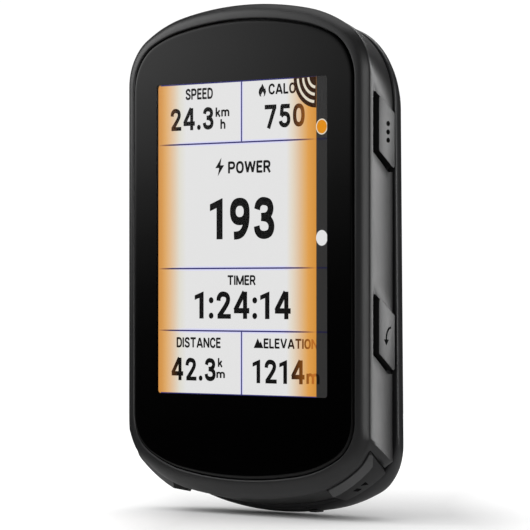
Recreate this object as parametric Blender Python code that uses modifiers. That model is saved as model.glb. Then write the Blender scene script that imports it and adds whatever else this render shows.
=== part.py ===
"""A handlebar cycling computer: two housings, a display stack, seven buttons, a port cover,
a battery and the boards, each as its own solid.

Sizes are in millimetres and are turned into metres when a shape is made. They are measured from
the centre of the display: X to the right, Y away from the rider, Z up. Every object hangs under
the empty named device, which puts the origin at the centre of the mount insert's rear face.
"""

import math

import bmesh
import bpy
from mathutils import Matrix, Vector

MM = 0.001

# ---- driving dimensions -------------------------------------------------------------------
BODY_HALF_WIDTH = 28.2
GLASS_HALF_WIDTH = 25.65
GLASS_FRONT = -0.46
GLASS_BACK = 0.44
MOUNT_FACE = 19.14            # depth of the insert's rear face: 19.6 mm behind the glass
MOUNT_HEIGHT = -3.55          # the insert sits half way up the body
RIDGE = 1.0                   # depth of the ridge between the bezel and the wall
SEAM = 6.7                    # depth of the joint between the two housings
GAP = 0.3                     # clearance between pieces that touch

# The body's outline is three arcs in each quarter: a long crown across the end, a shoulder and
# a corner. Each entry is (crown radius, shoulder radius, angle where the crown ends, corner).
# The front arcs hold up to the ridge; they change evenly into the rear arcs at the seam.
FRONT_TOP_ARCS = (78.0, 28.0, 0.19, 9.0)
FRONT_BOTTOM_ARCS = (85.0, 26.0, 0.16, 8.0)
REAR_TOP_ARCS = (58.0, 42.0, 0.25, 13.2)
REAR_BOTTOM_ARCS = (68.4, 35.9, 0.16, 9.0)
REAR_FLARE = 0.55             # how much wider the rear shell is at its lower corners
CROWN_STEPS = 4
SHOULDER_STEPS = 2
CORNER_STEPS = 6
CORNER_TAPER = 0.28           # how fast a corner tightens as the outline gets narrower
SMALLEST_CORNER = 3.0

# Sections of the body. Each one is (depth, half width, top, bottom).
# The outline slides down as it goes back, so the ends slope while the sides stay upright.
BEZEL_AND_WALL = [
    (-0.30, 25.95, 36.60, 40.45),
    (0.10, 27.15, 37.85, 42.00),
    (RIDGE, 28.20, 39.02, 43.45),
    (3.60, 28.30, 38.25, 44.10),
    (SEAM - GAP / 2, 28.20, 37.50, 44.70),
]
WALL_INSIDE = [
    (SEAM - GAP / 2, 26.60, 35.60, 43.10),
    (3.60, 26.60, 36.40, 42.60),
    (1.85, 26.60, 36.90, 41.60),
]
GLASS_SHELF = [
    (1.85, 23.90, 34.40, 38.20),
    (1.25, 23.90, 34.40, 38.20),
    (1.25, 25.95, 36.60, 40.45),
]
BACK_OUTSIDE = [
    (SEAM + GAP / 2, 28.10, 37.60, 45.30),
    (8.60, 27.60, 37.30, 45.80),
    (10.20, 26.60, 35.80, 46.08),
    (11.30, 25.20, 33.80, 46.08),
    (12.60, 23.10, 31.00, 45.50),
    (14.20, 20.30, 28.20, 43.70),
    (15.40, 17.60, 24.90, 40.80),
    (16.00, 15.00, 21.50, 37.60),
]
BACK_INSIDE = [
    (14.30, 14.40, 21.00, 35.80),
    (13.40, 17.80, 25.20, 39.30),
    (12.30, 20.80, 28.40, 41.50),
    (11.10, 23.30, 31.20, 43.00),
    (9.90, 25.10, 33.40, 43.50),
    (8.60, 26.10, 34.90, 43.50),
    (SEAM + GAP / 2, 26.60, 35.60, 43.50),
]

# Buttons. Each one is (name, centre x, centre z, direction it faces in degrees from +X, kind).
BUTTONS = [
    ("menu", 28.2, 18.5, 0, "side"),
    ("back", 28.2, -14.3, 0, "side"),
    ("power", -28.2, 18.5, 180, "side"),
    ("up", -28.2, 2.1, 180, "side"),
    ("down", -28.2, -14.3, 180, "side"),
    ("start", 22.6, -39.9, -54.2, "corner"),
    ("lap", -22.6, -39.9, 180 + 54.2, "corner"),
]
# What each kind of button is made to. The outline is in (depth, distance along the wall), drawn
# for the right-hand side; reach is the distance out of the wall from the button's centre.
KINDS = {
    "side": {
        "outline": [(2.4, 4.6), (6.2, 1.5), (6.2, -7.75), (2.4, -4.65)],
        "face_reach": 0.7,
        "flange_reach": -2.3,
        "slot_depths": (1.6, 7.2),
        "slot_growth": 0.5,
        "flange_depths": (2.2, 6.0),
        "flange_margins": (0.5, 0.3),
    },
    "corner": {
        "outline": [(1.75, 7.0), (6.1, 4.4), (6.1, -5.6), (1.75, -4.5)],
        "face_reach": 4.0,
        "flange_reach": -4.6,
        "slot_depths": (1.5, 7.2),
        "slot_growth": 0.3,
        "flange_depths": (2.2, 5.9),
        "flange_margins": (0.6, 0.4),
    },
}
# A corner button's face follows the body: (depth, how far it stands out of the wall there).
CORNER_FACE = [(1.2, -0.65), (1.75, -0.25), (3.0, 1.2), (6.2, 1.2)]
FLANGE_THICKNESS = 0.4
STEM_RADIUS = 0.9
STEM_END = -1.1               # from the flange's outer face, like the four that follow
SEAL_SPAN = (-1.5, -1.2)
SWITCH_SPAN = (-2.6, -1.9)
DOME_SPAN = (-2.3, -1.8)
FLEX_SPAN = (-3.1, -2.9)
SEAL_HOLE = 1.3               # radius of the hole the stem goes through
SWITCH_HALF = (1.6, 1.9)
DOME_RADIUS = 0.8
ROUND_STEPS = 12

# Display stack, front to back
PANEL = (22.2, -29.5, 27.5)   # half width, lowest z, highest z
PANEL_DEPTHS = (0.74, 1.94)
BACKLIGHT_DEPTHS = (2.24, 3.04)
FRAME_DEPTHS = (3.34, 4.04)
BOARD_DEPTHS = (5.3, 6.3)
BOARD_BACK = BOARD_DEPTHS[1] + GAP
SCREW_PLACES = [(19.0, 28.0), (-19.0, 28.0), (19.0, -26.0), (-19.0, -26.0)]

VENT_HEIGHT = 16.5            # the pressure vent is above the mount insert
BATTERY = (17.0, -30.0, 12.0)  # half width, lowest z, highest z
BATTERY_DEPTHS = (8.7, 13.3)

PORT_DEPTH = 9.7              # depth of the charging port's centre
PORT_HALF = (4.47, 1.6)       # half width and half thickness of the receptacle
PORT_MOUTH = -43.15
POCKET = (7.9, 7.3, 12.3, -44.6)   # half width, nearest depth, furthest depth, floor height

INSERT_BOSS = 10.3
INSERT_LUG = 12.55
INSERT_FLANGE = 13.4
INSERT_SCREWS = 6.0           # distance of each screw from the middle


# ---- scene and materials ------------------------------------------------------------------
def clear_scene():
    for obj in list(bpy.data.objects):
        bpy.data.objects.remove(obj, do_unlink=True)


def new_collection(name):
    collection = bpy.data.collections.new(name)
    bpy.context.scene.collection.children.link(collection)
    return collection


def new_material(name, colour, roughness, metallic=0.0):
    material = bpy.data.materials.new(name)
    material.use_nodes = True
    shader = material.node_tree.nodes["Principled BSDF"]
    shader.inputs["Base Color"].default_value = (*colour, 1.0)
    shader.inputs["Roughness"].default_value = roughness
    shader.inputs["Metallic"].default_value = metallic
    return material


clear_scene()
PARTS = new_collection("cycling_computer")
CUTTERS = new_collection("cutters")

DEVICE = bpy.data.objects.new("device", None)
DEVICE.location = (0, -MOUNT_FACE * MM, -MOUNT_HEIGHT * MM)
PARTS.objects.link(DEVICE)

GLASS = new_material("black_glass", (0.01, 0.01, 0.012), 0.06)
SATIN = new_material("satin_black_plastic", (0.035, 0.035, 0.037), 0.42)
SHELL = new_material("rear_black_plastic", (0.02, 0.02, 0.021), 0.5)
BUTTON = new_material("button_rubber", (0.11, 0.11, 0.112), 0.55)
RUBBER = new_material("black_rubber", (0.018, 0.018, 0.018), 0.75)
SILICONE = new_material("grey_silicone", (0.16, 0.16, 0.17), 0.6)
ADHESIVE = new_material("adhesive", (0.05, 0.05, 0.05), 0.8)
DISPLAY = new_material("display_face", (0.62, 0.64, 0.66), 0.3)
WHITE = new_material("white_plastic", (0.8, 0.8, 0.78), 0.45)
STEEL = new_material("steel", (0.55, 0.55, 0.56), 0.3, 1.0)
BOARD = new_material("circuit_board", (0.01, 0.09, 0.05), 0.45)
FLEX = new_material("flex_circuit", (0.42, 0.2, 0.05), 0.4)
CERAMIC = new_material("ceramic", (0.72, 0.66, 0.52), 0.5)
POUCH = new_material("battery_pouch", (0.35, 0.36, 0.38), 0.35, 0.6)
FOAM = new_material("foam", (0.03, 0.03, 0.03), 0.95)


# ---- making objects -----------------------------------------------------------------------
def place(obj, material, collection=None):
    """Puts an object in its collection, under the device, with its material."""
    for old in list(obj.users_collection):
        old.objects.unlink(obj)
    (collection or PARTS).objects.link(obj)
    obj.parent = DEVICE
    if material:
        obj.data.materials.clear()
        obj.data.materials.append(material)
    return obj


def object_from(mesh_builder, name, material, location=(0, 0, 0), smooth=False):
    """Finishes a bmesh as a named object."""
    bmesh.ops.recalc_face_normals(mesh_builder, faces=mesh_builder.faces)
    mesh = bpy.data.meshes.new(name)
    mesh_builder.to_mesh(mesh)
    mesh_builder.free()
    if smooth:
        mesh.shade_smooth()
        mesh.set_sharp_from_angle(angle=math.radians(35))
    obj = bpy.data.objects.new(name, mesh)
    obj.location = Vector(location) * MM
    return place(obj, material)


def box(name, low, high, material, rounding=0.0):
    """A box between two corners, with rounded edges where asked."""
    low = Vector(low)
    high = Vector(high)
    bpy.ops.mesh.primitive_cube_add(size=1)
    obj = bpy.context.active_object
    obj.name = name
    obj.data.name = name
    obj.data.transform(Matrix.Diagonal((*((high - low) * MM), 1.0)))
    obj.location = (low + high) / 2 * MM
    place(obj, material)
    if rounding:
        bevel = obj.modifiers.new("rounding", "BEVEL")
        bevel.width = rounding * MM
        bevel.segments = 2
        bevel.limit_method = "ANGLE"
    return obj


def flat_piece(name, outlines, depths, material):
    """A flat sheet from outlines in (x, z); the outlines after the first are holes."""
    curve = bpy.data.curves.new(name, "CURVE")
    curve.dimensions = "2D"
    curve.fill_mode = "BOTH"
    curve.extrude = (depths[1] - depths[0]) / 2 * MM
    for outline in outlines:
        spline = curve.splines.new("POLY")
        spline.points.add(len(outline) - 1)
        for point, (x, z) in zip(spline.points, outline):
            point.co = (x * MM, z * MM, 0, 1)
        spline.use_cyclic_u = True
    obj = bpy.data.objects.new(name, curve)
    obj.location = (0, (depths[0] + depths[1]) / 2 * MM, 0)
    obj.rotation_euler = (math.pi / 2, 0, 0)
    return place(obj, material)


def mesh_of_curve(obj):
    """Replaces a curve object by the mesh it shows, with its caps joined on."""
    bpy.context.view_layer.update()
    name = obj.name
    evaluated = obj.evaluated_get(bpy.context.evaluated_depsgraph_get())
    mesh = bpy.data.meshes.new_from_object(evaluated)
    builder = bmesh.new()
    builder.from_mesh(mesh)
    bmesh.ops.remove_doubles(builder, verts=builder.verts, dist=0.00001)
    bmesh.ops.recalc_face_normals(builder, faces=builder.faces)
    builder.to_mesh(mesh)
    builder.free()
    made = bpy.data.objects.new(name + "_mesh", mesh)
    local = DEVICE.matrix_world.inverted() @ obj.matrix_world
    bpy.data.objects.remove(obj, do_unlink=True)
    made.name = name
    place(made, None)
    made.matrix_basis = local
    return made


def turned(name, profile, centre, material, steps=16):
    """A round piece about an axis along Y. Its profile is (radius, depth), back to front."""
    builder = bmesh.new()
    points = [builder.verts.new((r * MM, 0, y * MM)) for r, y in profile]
    for first, second in zip(points, points[1:]):
        builder.edges.new((first, second))
    mesh = bpy.data.meshes.new(name)
    builder.to_mesh(mesh)
    builder.free()
    obj = bpy.data.objects.new(name, mesh)
    obj.location = (centre[0] * MM, 0, centre[1] * MM)
    obj.rotation_euler = (-math.pi / 2, 0, 0)
    place(obj, material)
    screw = obj.modifiers.new("turn", "SCREW")
    screw.steps = steps
    screw.render_steps = steps
    screw.use_merge_vertices = True
    screw.merge_threshold = 0.00001
    return obj


def rod(name, points, radius, material, resolution=2):
    """A round lead along points, with closed ends."""
    curve = bpy.data.curves.new(name, "CURVE")
    curve.dimensions = "3D"
    curve.bevel_depth = radius * MM
    curve.bevel_resolution = resolution
    curve.use_fill_caps = True
    spline = curve.splines.new("POLY")
    spline.points.add(len(points) - 1)
    for point, place_at in zip(spline.points, points):
        point.co = (*(Vector(place_at) * MM), 1)
    obj = bpy.data.objects.new(name, curve)
    return place(obj, material)


def as_cutter(obj):
    place(obj, None, CUTTERS)
    obj.hide_render = True
    obj.display_type = "WIRE"
    return obj


def combine(obj, other, operation):
    """Adds a Boolean that joins, cuts or keeps what another object covers."""
    as_cutter(other)
    boolean = obj.modifiers.new(other.name, "BOOLEAN")
    boolean.operation = operation
    boolean.object = other
    return obj


# ---- outlines and lofts -------------------------------------------------------------------
def arc(centre, radius, start, end, steps):
    """Points on an arc, from one angle to another, measured from straight up."""
    angles = [start + (end - start) * i / steps for i in range(steps)]
    return [(centre[0] + radius * math.sin(a), centre[1] + radius * math.cos(a)) for a in angles]


def quarter(half_width, height, arcs):
    """The outline from the middle of one end to the side, as crown, shoulder and corner."""
    crown, shoulder, crown_end, corner = arcs
    corner -= CORNER_TAPER * (BODY_HALF_WIDTH - half_width)
    corner = max(corner, SMALLEST_CORNER)
    crown_centre = (0.0, height - crown)
    reach = crown - shoulder
    shoulder_centre = (
        crown_centre[0] + reach * math.sin(crown_end),
        crown_centre[1] + reach * math.cos(crown_end),
    )
    across = half_width - corner - shoulder_centre[0]
    along = math.sqrt((shoulder - corner) ** 2 - across ** 2)
    corner_centre = (half_width - corner, shoulder_centre[1] + along)
    shoulder_end = math.atan2(across, along)
    points = arc(crown_centre, crown, 0.0, crown_end, CROWN_STEPS)
    points += arc(shoulder_centre, shoulder, crown_end, shoulder_end, SHOULDER_STEPS)
    points += arc(corner_centre, corner, shoulder_end, math.pi / 2, CORNER_STEPS)
    return points + [(half_width, corner_centre[1])]


def between(first, second, share):
    """Values part of the way from the first list to the second."""
    return [a + (b - a) * share for a, b in zip(first, second)]


def outline(half_width, top, bottom, depth=0.0):
    """The whole outline in (x, z) at a depth, clockwise from the middle of the top."""
    share = min(max((depth - RIDGE) / (SEAM - RIDGE), 0.0), 1.0)
    top_arcs = between(FRONT_TOP_ARCS, REAR_TOP_ARCS, share)
    bottom_arcs = between(FRONT_BOTTOM_ARCS, REAR_BOTTOM_ARCS, share)
    flare = REAR_FLARE if depth > SEAM else 0.0
    upper = quarter(half_width, top, top_arcs)
    lower = [(x, -z) for x, z in reversed(quarter(half_width + flare, bottom, bottom_arcs))]
    right = upper + lower
    left = [(-x, z) for x, z in reversed(right[1:-1])]
    return right + left


def ring_loft(name, sections, material, closed=False, smooth=True):
    """A solid through body sections. A closed one is a frame; an open one gets end caps."""
    builder = bmesh.new()
    rings = []
    for depth, half_width, top, bottom in sections:
        points = outline(half_width, top, bottom, depth)
        rings.append([builder.verts.new((x * MM, depth * MM, z * MM)) for x, z in points])
    pairs = list(zip(rings, rings[1:]))
    if closed:
        pairs.append((rings[-1], rings[0]))
    for first, second in pairs:
        for i in range(len(first)):
            j = (i + 1) % len(first)
            builder.faces.new((first[i], first[j], second[j], second[i]))
    if not closed:
        builder.faces.new(rings[0])
        builder.faces.new(rings[-1])
    return object_from(builder, name, material, smooth=smooth)


def round_points(centre, radius):
    angles = [2 * math.pi * i / ROUND_STEPS for i in range(ROUND_STEPS)]
    return [(centre[0] + radius * math.cos(a), centre[1] + radius * math.sin(a)) for a in angles]


def corners(near, far, low, high):
    return [(near, low), (far, low), (far, high), (near, high)]


def prism(name, outline_points, span, material, placing):
    """A block whose outline is in (depth, along the wall), pushed out along its direction."""
    centre, angle = placing
    builder = bmesh.new()
    ends = []
    for x in span:
        ends.append([builder.verts.new((x * MM, y * MM, s * MM)) for y, s in outline_points])
    count = len(outline_points)
    for i in range(count):
        j = (i + 1) % count
        builder.faces.new((ends[0][i], ends[0][j], ends[1][j], ends[1][i]))
    builder.faces.new(ends[0])
    builder.faces.new(ends[1])
    obj = object_from(builder, name, material, (centre[0], 0, centre[1]))
    obj.rotation_euler = (0, -math.radians(angle), 0)
    return obj


def grown(points, amount):
    """The outline moved outward by an amount on every side."""
    area = sum(
        a[0] * b[1] - b[0] * a[1] for a, b in zip(points, points[1:] + points[:1])
    )
    turn = 1.0 if area > 0 else -1.0
    count = len(points)
    moved = []
    for i in range(count):
        before = Vector(points[i]) - Vector(points[i - 1])
        after = Vector(points[(i + 1) % count]) - Vector(points[i])
        n1 = Vector((before.y, -before.x)).normalized() * turn
        n2 = Vector((after.y, -after.x)).normalized() * turn
        mid = (n1 + n2).normalized()
        moved.append(tuple(Vector(points[i]) + mid * amount / mid.dot(n1)))
    return moved


# ---- housings -----------------------------------------------------------------------------
def make_front_housing():
    sections = BEZEL_AND_WALL + WALL_INSIDE + GLASS_SHELF
    return ring_loft("front_housing", sections, SATIN, closed=True)


def make_rear_housing():
    sections = BACK_OUTSIDE[::-1] + BACK_INSIDE[::-1]
    return ring_loft("rear_housing", sections, SHELL)


def open_rear_housing(housing):
    """Cuts the port pocket, the port, the vent and the seat of the mount insert."""
    half, near, far, floor = POCKET
    pocket = box("cut_port_pocket", (-half, near, -48.0), (half, far, floor), None)
    combine(housing, pocket, "DIFFERENCE")
    port = stadium_block("cut_port", PORT_HALF[0] + 0.25, PORT_HALF[1] + 0.25, -48.0, -41.0)
    combine(housing, port, "DIFFERENCE")
    tab = box("cut_port_tab", (half - 0.5, 8.4, -48.0), (half + 1.2, 11.2, -45.1), None)
    combine(housing, tab, "DIFFERENCE")
    seat = cylinder("cut_insert_seat", INSERT_FLANGE + GAP, (0, MOUNT_HEIGHT), (15.4, 17.0), 40)
    combine(housing, seat, "DIFFERENCE")
    for i, side in enumerate((1, -1)):
        hole = cylinder(
            f"cut_insert_screw_{i + 1}",
            1.15,
            (side * INSERT_SCREWS, MOUNT_HEIGHT),
            (14.65, 16.0),
            12,
        )
        combine(housing, hole, "DIFFERENCE")
    vent = cylinder("cut_vent", 0.6, (0, VENT_HEIGHT), (13.0, 17.0), 12)
    combine(housing, vent, "DIFFERENCE")


def cylinder(name, radius, centre, depths, steps):
    """A plain round block along Y."""
    bpy.ops.mesh.primitive_cylinder_add(
        vertices=steps, radius=radius * MM, depth=(depths[1] - depths[0]) * MM
    )
    obj = bpy.context.active_object
    obj.name = name
    obj.data.name = name
    obj.rotation_euler = (math.pi / 2, 0, 0)
    obj.location = Vector((centre[0], (depths[0] + depths[1]) / 2, centre[1])) * MM
    return place(obj, None)


def stadium_points(half_width, half_thickness, steps=6):
    """A slot shape: a rectangle with round ends."""
    straight = half_width - half_thickness
    points = []
    for i in range(steps + 1):
        a = -math.pi / 2 + math.pi * i / steps
        x = straight + half_thickness * math.cos(a)
        points.append((x, half_thickness * math.sin(a)))
    return points + [(-x, -y) for x, y in points]


def stadium_block(name, half_width, half_thickness, low, high, material=None, hole=None):
    """A slot-shaped block standing along Z at the port, with a slot-shaped hole where asked."""
    builder = bmesh.new()
    rims = [stadium_points(half_width, half_thickness)]
    if hole:
        rims.append(stadium_points(*hole))
    loops = []
    for z in (low, high):
        for rim in rims:
            loops.append([builder.verts.new((x * MM, (PORT_DEPTH + y) * MM, z * MM)) for x, y in rim])
    count = len(rims[0])
    if hole:
        order = [(0, 2), (2, 3), (3, 1), (1, 0)]
    else:
        order = [(0, 1)]
        builder.faces.new(loops[0])
        builder.faces.new(loops[1])
    for first, second in order:
        for i in range(count):
            j = (i + 1) % count
            quad = (loops[first][i], loops[first][j], loops[second][j], loops[second][i])
            builder.faces.new(quad)
    return object_from(builder, name, material)


# ---- display stack ------------------------------------------------------------------------
def make_cover_glass():
    edge = 0.3
    sections = [
        (GLASS_FRONT, GLASS_HALF_WIDTH - edge, 36.3 - edge, 40.15 - edge),
        (GLASS_FRONT + edge, GLASS_HALF_WIDTH, 36.3, 40.15),
        (GLASS_BACK, GLASS_HALF_WIDTH, 36.3, 40.15),
    ]
    ring_loft("cover_glass", sections, GLASS)


def make_glass_adhesive():
    outer = outline(25.3, 35.95, 39.8)
    inner = outline(24.1, 34.75, 38.6)
    flat_piece("glass_adhesive", [outer, inner], (0.74, 0.95), ADHESIVE)


def make_display():
    half, low, high = PANEL
    box("display_panel", (-half, PANEL_DEPTHS[0], low), (half, PANEL_DEPTHS[1], high), DISPLAY)
    light_low = (-half + 0.4, BACKLIGHT_DEPTHS[0], low + 0.8)
    light_high = (half - 0.4, BACKLIGHT_DEPTHS[1], high - 0.8)
    box("backlight_unit", light_low, light_high, WHITE)
    box("light_sensor", (13.6, 1.0, -32.3), (15.6, 1.8, -30.3), WHITE)
    flex_points = [
        (0, 1.35, low - 0.35),
        (0, 1.5, low - 1.8),
        (0, 2.6, low - 2.7),
        (0, 4.2, low - 3.0),
        (0, 4.9, low - 2.6),
    ]
    ribbon("display_flex", flex_points, 7.0, 0.2, FLEX)


def ribbon(name, points, half_width, thickness, material):
    """A flat lead: a strip along points, given its thickness."""
    builder = bmesh.new()
    rows = []
    for x, y, z in points:
        left = builder.verts.new(((x - half_width) * MM, y * MM, z * MM))
        right = builder.verts.new(((x + half_width) * MM, y * MM, z * MM))
        rows.append((left, right))
    for (a, b), (c, d) in zip(rows, rows[1:]):
        builder.faces.new((a, b, d, c))
    obj = object_from(builder, name, material)
    solid = obj.modifiers.new("thickness", "SOLIDIFY")
    solid.thickness = thickness * MM
    solid.offset = 0
    return obj


def make_display_frame():
    """The chassis plate behind the display, with ears to the housing and posts for screws."""
    low = -31.0
    high = 32.0
    ear = 25.7
    half = 22.4
    right = [
        (half - 4, high),
        (half, high - 3),
        (half, 28.0),
        (ear, 26.8),
        (ear, 25.0),
        (half, 24.2),
        (half, -23.5),
        (ear, -24.5),
        (ear, -27.5),
        (half, -29.0),
        (half, low + 1),
        (half - 2, low),
    ]
    left = [(-x, z) for x, z in reversed(right)]
    holes = [round_points(place_at, 0.95) for place_at in SCREW_PLACES]
    window = [corners(-15.0, 15.0, -18.0, 16.0)]
    plate = flat_piece("display_frame", [right + left] + holes + window, FRAME_DEPTHS, STEEL)
    plate = mesh_of_curve(plate)
    for i, place_at in enumerate(SCREW_PLACES):
        post = turned(
            f"add_post_{i + 1}",
            [(0.95, 5.0), (1.7, 5.0), (1.7, 3.8), (0.95, 3.8), (0.95, 5.0)],
            place_at,
            None,
            12,
        )
        combine(plate, post, "UNION")
    return plate


# ---- electronics --------------------------------------------------------------------------
def make_main_board():
    right = [
        (13.0, 33.0),
        (20.2, 29.8),
        (22.4, 26.5),
        (22.4, -28.5),
        (12.6, -36.0),
        (12.6, -40.0),
    ]
    left = [(-x, z) for x, z in reversed(right)]
    holes = [round_points(place_at, 1.0) for place_at in SCREW_PLACES]
    flat_piece("main_circuit_board", [right + left] + holes, BOARD_DEPTHS, BOARD)
    for i, place_at in enumerate(SCREW_PLACES):
        profile = [
            (0.0, 7.5),
            (1.3, 7.5),
            (1.5, 7.2),
            (1.5, BOARD_BACK),
            (0.65, BOARD_BACK),
            (0.65, 4.0),
            (0.0, 3.7),
        ]
        turned(f"board_screw_{i + 1}", profile, place_at, STEEL, 12)


def make_board_pieces():
    back = BOARD_BACK
    box("processor_shield", (-18.0, back, -6.0), (-2.0, 8.3, 10.0), STEEL, 0.2)
    box("radio_shield", (2.0, back, -4.0), (15.0, 8.3, 9.0), STEEL, 0.2)
    box("gnss_antenna", (-9.0, back, 20.2), (9.0, 9.4, 31.8), CERAMIC, 0.3)
    box("wireless_antenna", (-20.5, back, 12.0), (-17.5, 7.6, 24.0), CERAMIC, 0.2)
    box("pressure_sensor", (-1.6, back, VENT_HEIGHT - 1.6), (1.6, 7.7, VENT_HEIGHT + 1.6), STEEL)
    box("battery_connector", (8.2, back, -34.5), (12.2, 8.2, -32.0), WHITE)
    box("usb_board", (-7.5, back + 0.3, -40.2), (7.5, 7.7, -33.0), BOARD)
    buzzer = [
        (0.0, 8.3),
        (4.6, 8.3),
        (5.2, 7.9),
        (5.2, back),
        (0.0, back),
    ]
    turned("buzzer", buzzer, (-10.0, -16.0), RUBBER, 24)
    vent = [(0.0, 14.0), (2.2, 14.0), (2.2, 13.75), (0.0, 13.75)]
    turned("vent_membrane", vent, (0, VENT_HEIGHT), WHITE, 16)


def make_battery():
    half, low, high = BATTERY
    near, far = BATTERY_DEPTHS
    box("battery_pack", (-half, near, low), (half, far, high), POUCH, 0.8)
    box("battery_foam", (-12.0, far + GAP, -24.0), (12.0, far + 0.6, 6.0), FOAM)
    lead = [
        (10.2, 11.0, -30.35),
        (10.2, 11.0, -31.2),
        (10.2, 10.6, -32.4),
        (10.2, 9.6, -33.1),
        (10.2, 8.5, -33.25),
    ]
    rod("battery_lead", lead, 0.7, RUBBER)


def make_port():
    """The charging receptacle, its seal and the flap over it."""
    wide, thick = PORT_HALF
    opening = (wide - 0.3, thick - 0.3)
    receptacle = stadium_block("usb_receptacle", wide, thick, PORT_MOUTH, -35.9, STEEL)
    mouth = stadium_block("cut_usb_mouth", *opening, PORT_MOUTH - 1, -37.0)
    combine(receptacle, mouth, "DIFFERENCE")
    tongue = box("add_usb_tongue", (-3.3, 9.4, -42.6), (3.3, 10.0, -36.5), None)
    combine(receptacle, tongue, "UNION")
    seal_hole = (wide + 0.2, thick + 0.2)
    stadium_block("usb_gasket", wide + 0.6, thick + 0.6, -41.5, -40.6, SILICONE, seal_hole)


def make_port_cover():
    """A flap cut from the chin's own surface, with a plug that fills the port's mouth."""
    half, near, far, floor = POCKET
    hinge = bpy.data.objects.new("port_hinge", None)
    hinge.location = Vector((-half + GAP, PORT_DEPTH, -45.75)) * MM
    hinge.parent = DEVICE
    PARTS.objects.link(hinge)
    flap = box(
        "port_cover",
        (-half + GAP, near + GAP, -48.0),
        (half - GAP, far - GAP, floor - GAP),
        RUBBER,
    )
    skin = ring_loft("keep_chin_skin", BACK_OUTSIDE, None)
    combine(flap, skin, "INTERSECT")
    plug = stadium_block("add_port_plug", 3.9, 1.2, floor - GAP - 0.4, -43.7)
    combine(flap, plug, "UNION")
    tab = box("add_port_tab", (half - 0.8, 8.8, -45.8), (half + 0.8, 10.8, -45.4), None)
    combine(flap, tab, "UNION")
    bpy.context.view_layer.update()
    flap.parent = hinge
    flap.location -= hinge.location


# ---- buttons ------------------------------------------------------------------------------
def wall_at(depth):
    """(half width, top, bottom) of the outer wall at a depth."""
    for near, far in zip(BEZEL_AND_WALL, BEZEL_AND_WALL[1:]):
        if depth <= far[0]:
            share = (depth - near[0]) / (far[0] - near[0])
            return between(near[1:], far[1:], share)
    return list(BEZEL_AND_WALL[-1][1:])


def proud_body():
    """The outside of the body, moved out to where the corner buttons' faces are."""
    sections = []
    for depth, offset in CORNER_FACE:
        half_width, top, bottom = wall_at(depth)
        sections.append((depth, half_width + offset, top + offset, bottom + offset))
    return ring_loft("keep_proud_body", sections, None)


def cut_slot(housing, name, kind, shape, placing):
    """Cuts the button's slot, which runs a little past the button and out at the seam."""
    slot = grown(shape, kind["slot_growth"])
    middle = sum(y for y, _ in slot) / len(slot)
    near, far = kind["slot_depths"]
    slot = [(near if y < middle else far, s) for y, s in slot]
    cutter = prism(f"cut_{name}_slot", slot, (-6.0, 6.0), None, placing)
    combine(housing, cutter, "DIFFERENCE")


def make_cap(name, kind, shape, flange, stem, placing):
    """The button itself: a cap through the wall, a flange behind it and a stem."""
    reach = kind["flange_reach"]
    cap = prism(f"{name}_button", shape, (reach, kind["face_reach"]), BUTTON, placing)
    if kind is KINDS["corner"]:
        combine(cap, proud_body(), "INTERSECT")
    flange_span = (reach - FLANGE_THICKNESS, reach + 0.01)
    combine(cap, prism(f"add_{name}_flange", flange, flange_span, None, placing), "UNION")
    stem_span = (reach + STEM_END, reach - FLANGE_THICKNESS / 2)
    stem_points = round_points(stem, STEM_RADIUS)
    combine(cap, prism(f"add_{name}_stem", stem_points, stem_span, None, placing), "UNION")


def make_seal_and_switch(name, kind, flange, stem, placing):
    """The silicone seal behind the flange, with the dome switch the stem presses."""
    reach = kind["flange_reach"]

    def span(pair):
        return reach + pair[0], reach + pair[1]

    seal = prism(f"{name}_seal", flange, span(SEAL_SPAN), SILICONE, placing)
    hole_points = round_points(stem, SEAL_HOLE)
    hole = prism(f"cut_{name}_seal", hole_points, (reach - 2.0, reach - 0.8), None, placing)
    combine(seal, hole, "DIFFERENCE")
    deep, along = SWITCH_HALF
    base = corners(stem[0] - deep, stem[0] + deep, stem[1] - along, stem[1] + along)
    switch = prism(f"{name}_switch", base, span(SWITCH_SPAN), STEEL, placing)
    dome_points = round_points(stem, DOME_RADIUS)
    combine(switch, prism(f"add_{name}_dome", dome_points, span(DOME_SPAN), None, placing), "UNION")
    if kind is KINDS["corner"]:
        near, far = kind["flange_depths"]
        strip = corners(near + 0.2, far - 0.2, stem[1] - 3.0, stem[1] + 3.0)
        prism(f"{name}_button_flex", strip, span(FLEX_SPAN), FLEX, placing)


def make_button(spec, housing):
    """One button: its slot, cap, seal and switch."""
    name, x, z, angle, kind_name = spec
    kind = KINDS[kind_name]
    placing = ((x, z), angle)
    # The left-hand pieces are turned to face left, so their outlines are flipped to match.
    side = -1 if x < 0 else 1
    shape = [(y, s * side) for y, s in kind["outline"]]
    below, above = kind["flange_margins"][::side]
    low = min(s for _, s in shape) - below
    high = max(s for _, s in shape) + above
    near, far = kind["flange_depths"]
    flange = corners(near, far, low, high)
    stem = ((near + far) / 2, (low + high) / 2)
    cut_slot(housing, name, kind, shape, placing)
    make_cap(name, kind, shape, flange, stem, placing)
    make_seal_and_switch(name, kind, flange, stem, placing)


def make_side_flexes():
    """A flex circuit behind each side's row of switches."""
    wall = BODY_HALF_WIDTH + KINDS["side"]["flange_reach"]
    inner = wall + FLEX_SPAN[0]
    outer = wall + FLEX_SPAN[1]
    box("right_button_flex", (inner, 2.4, -19.0), (outer, 5.8, 20.0), FLEX)
    box("left_button_flex", (-outer, 2.4, -19.0), (-inner, 5.8, 20.0), FLEX)


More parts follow.
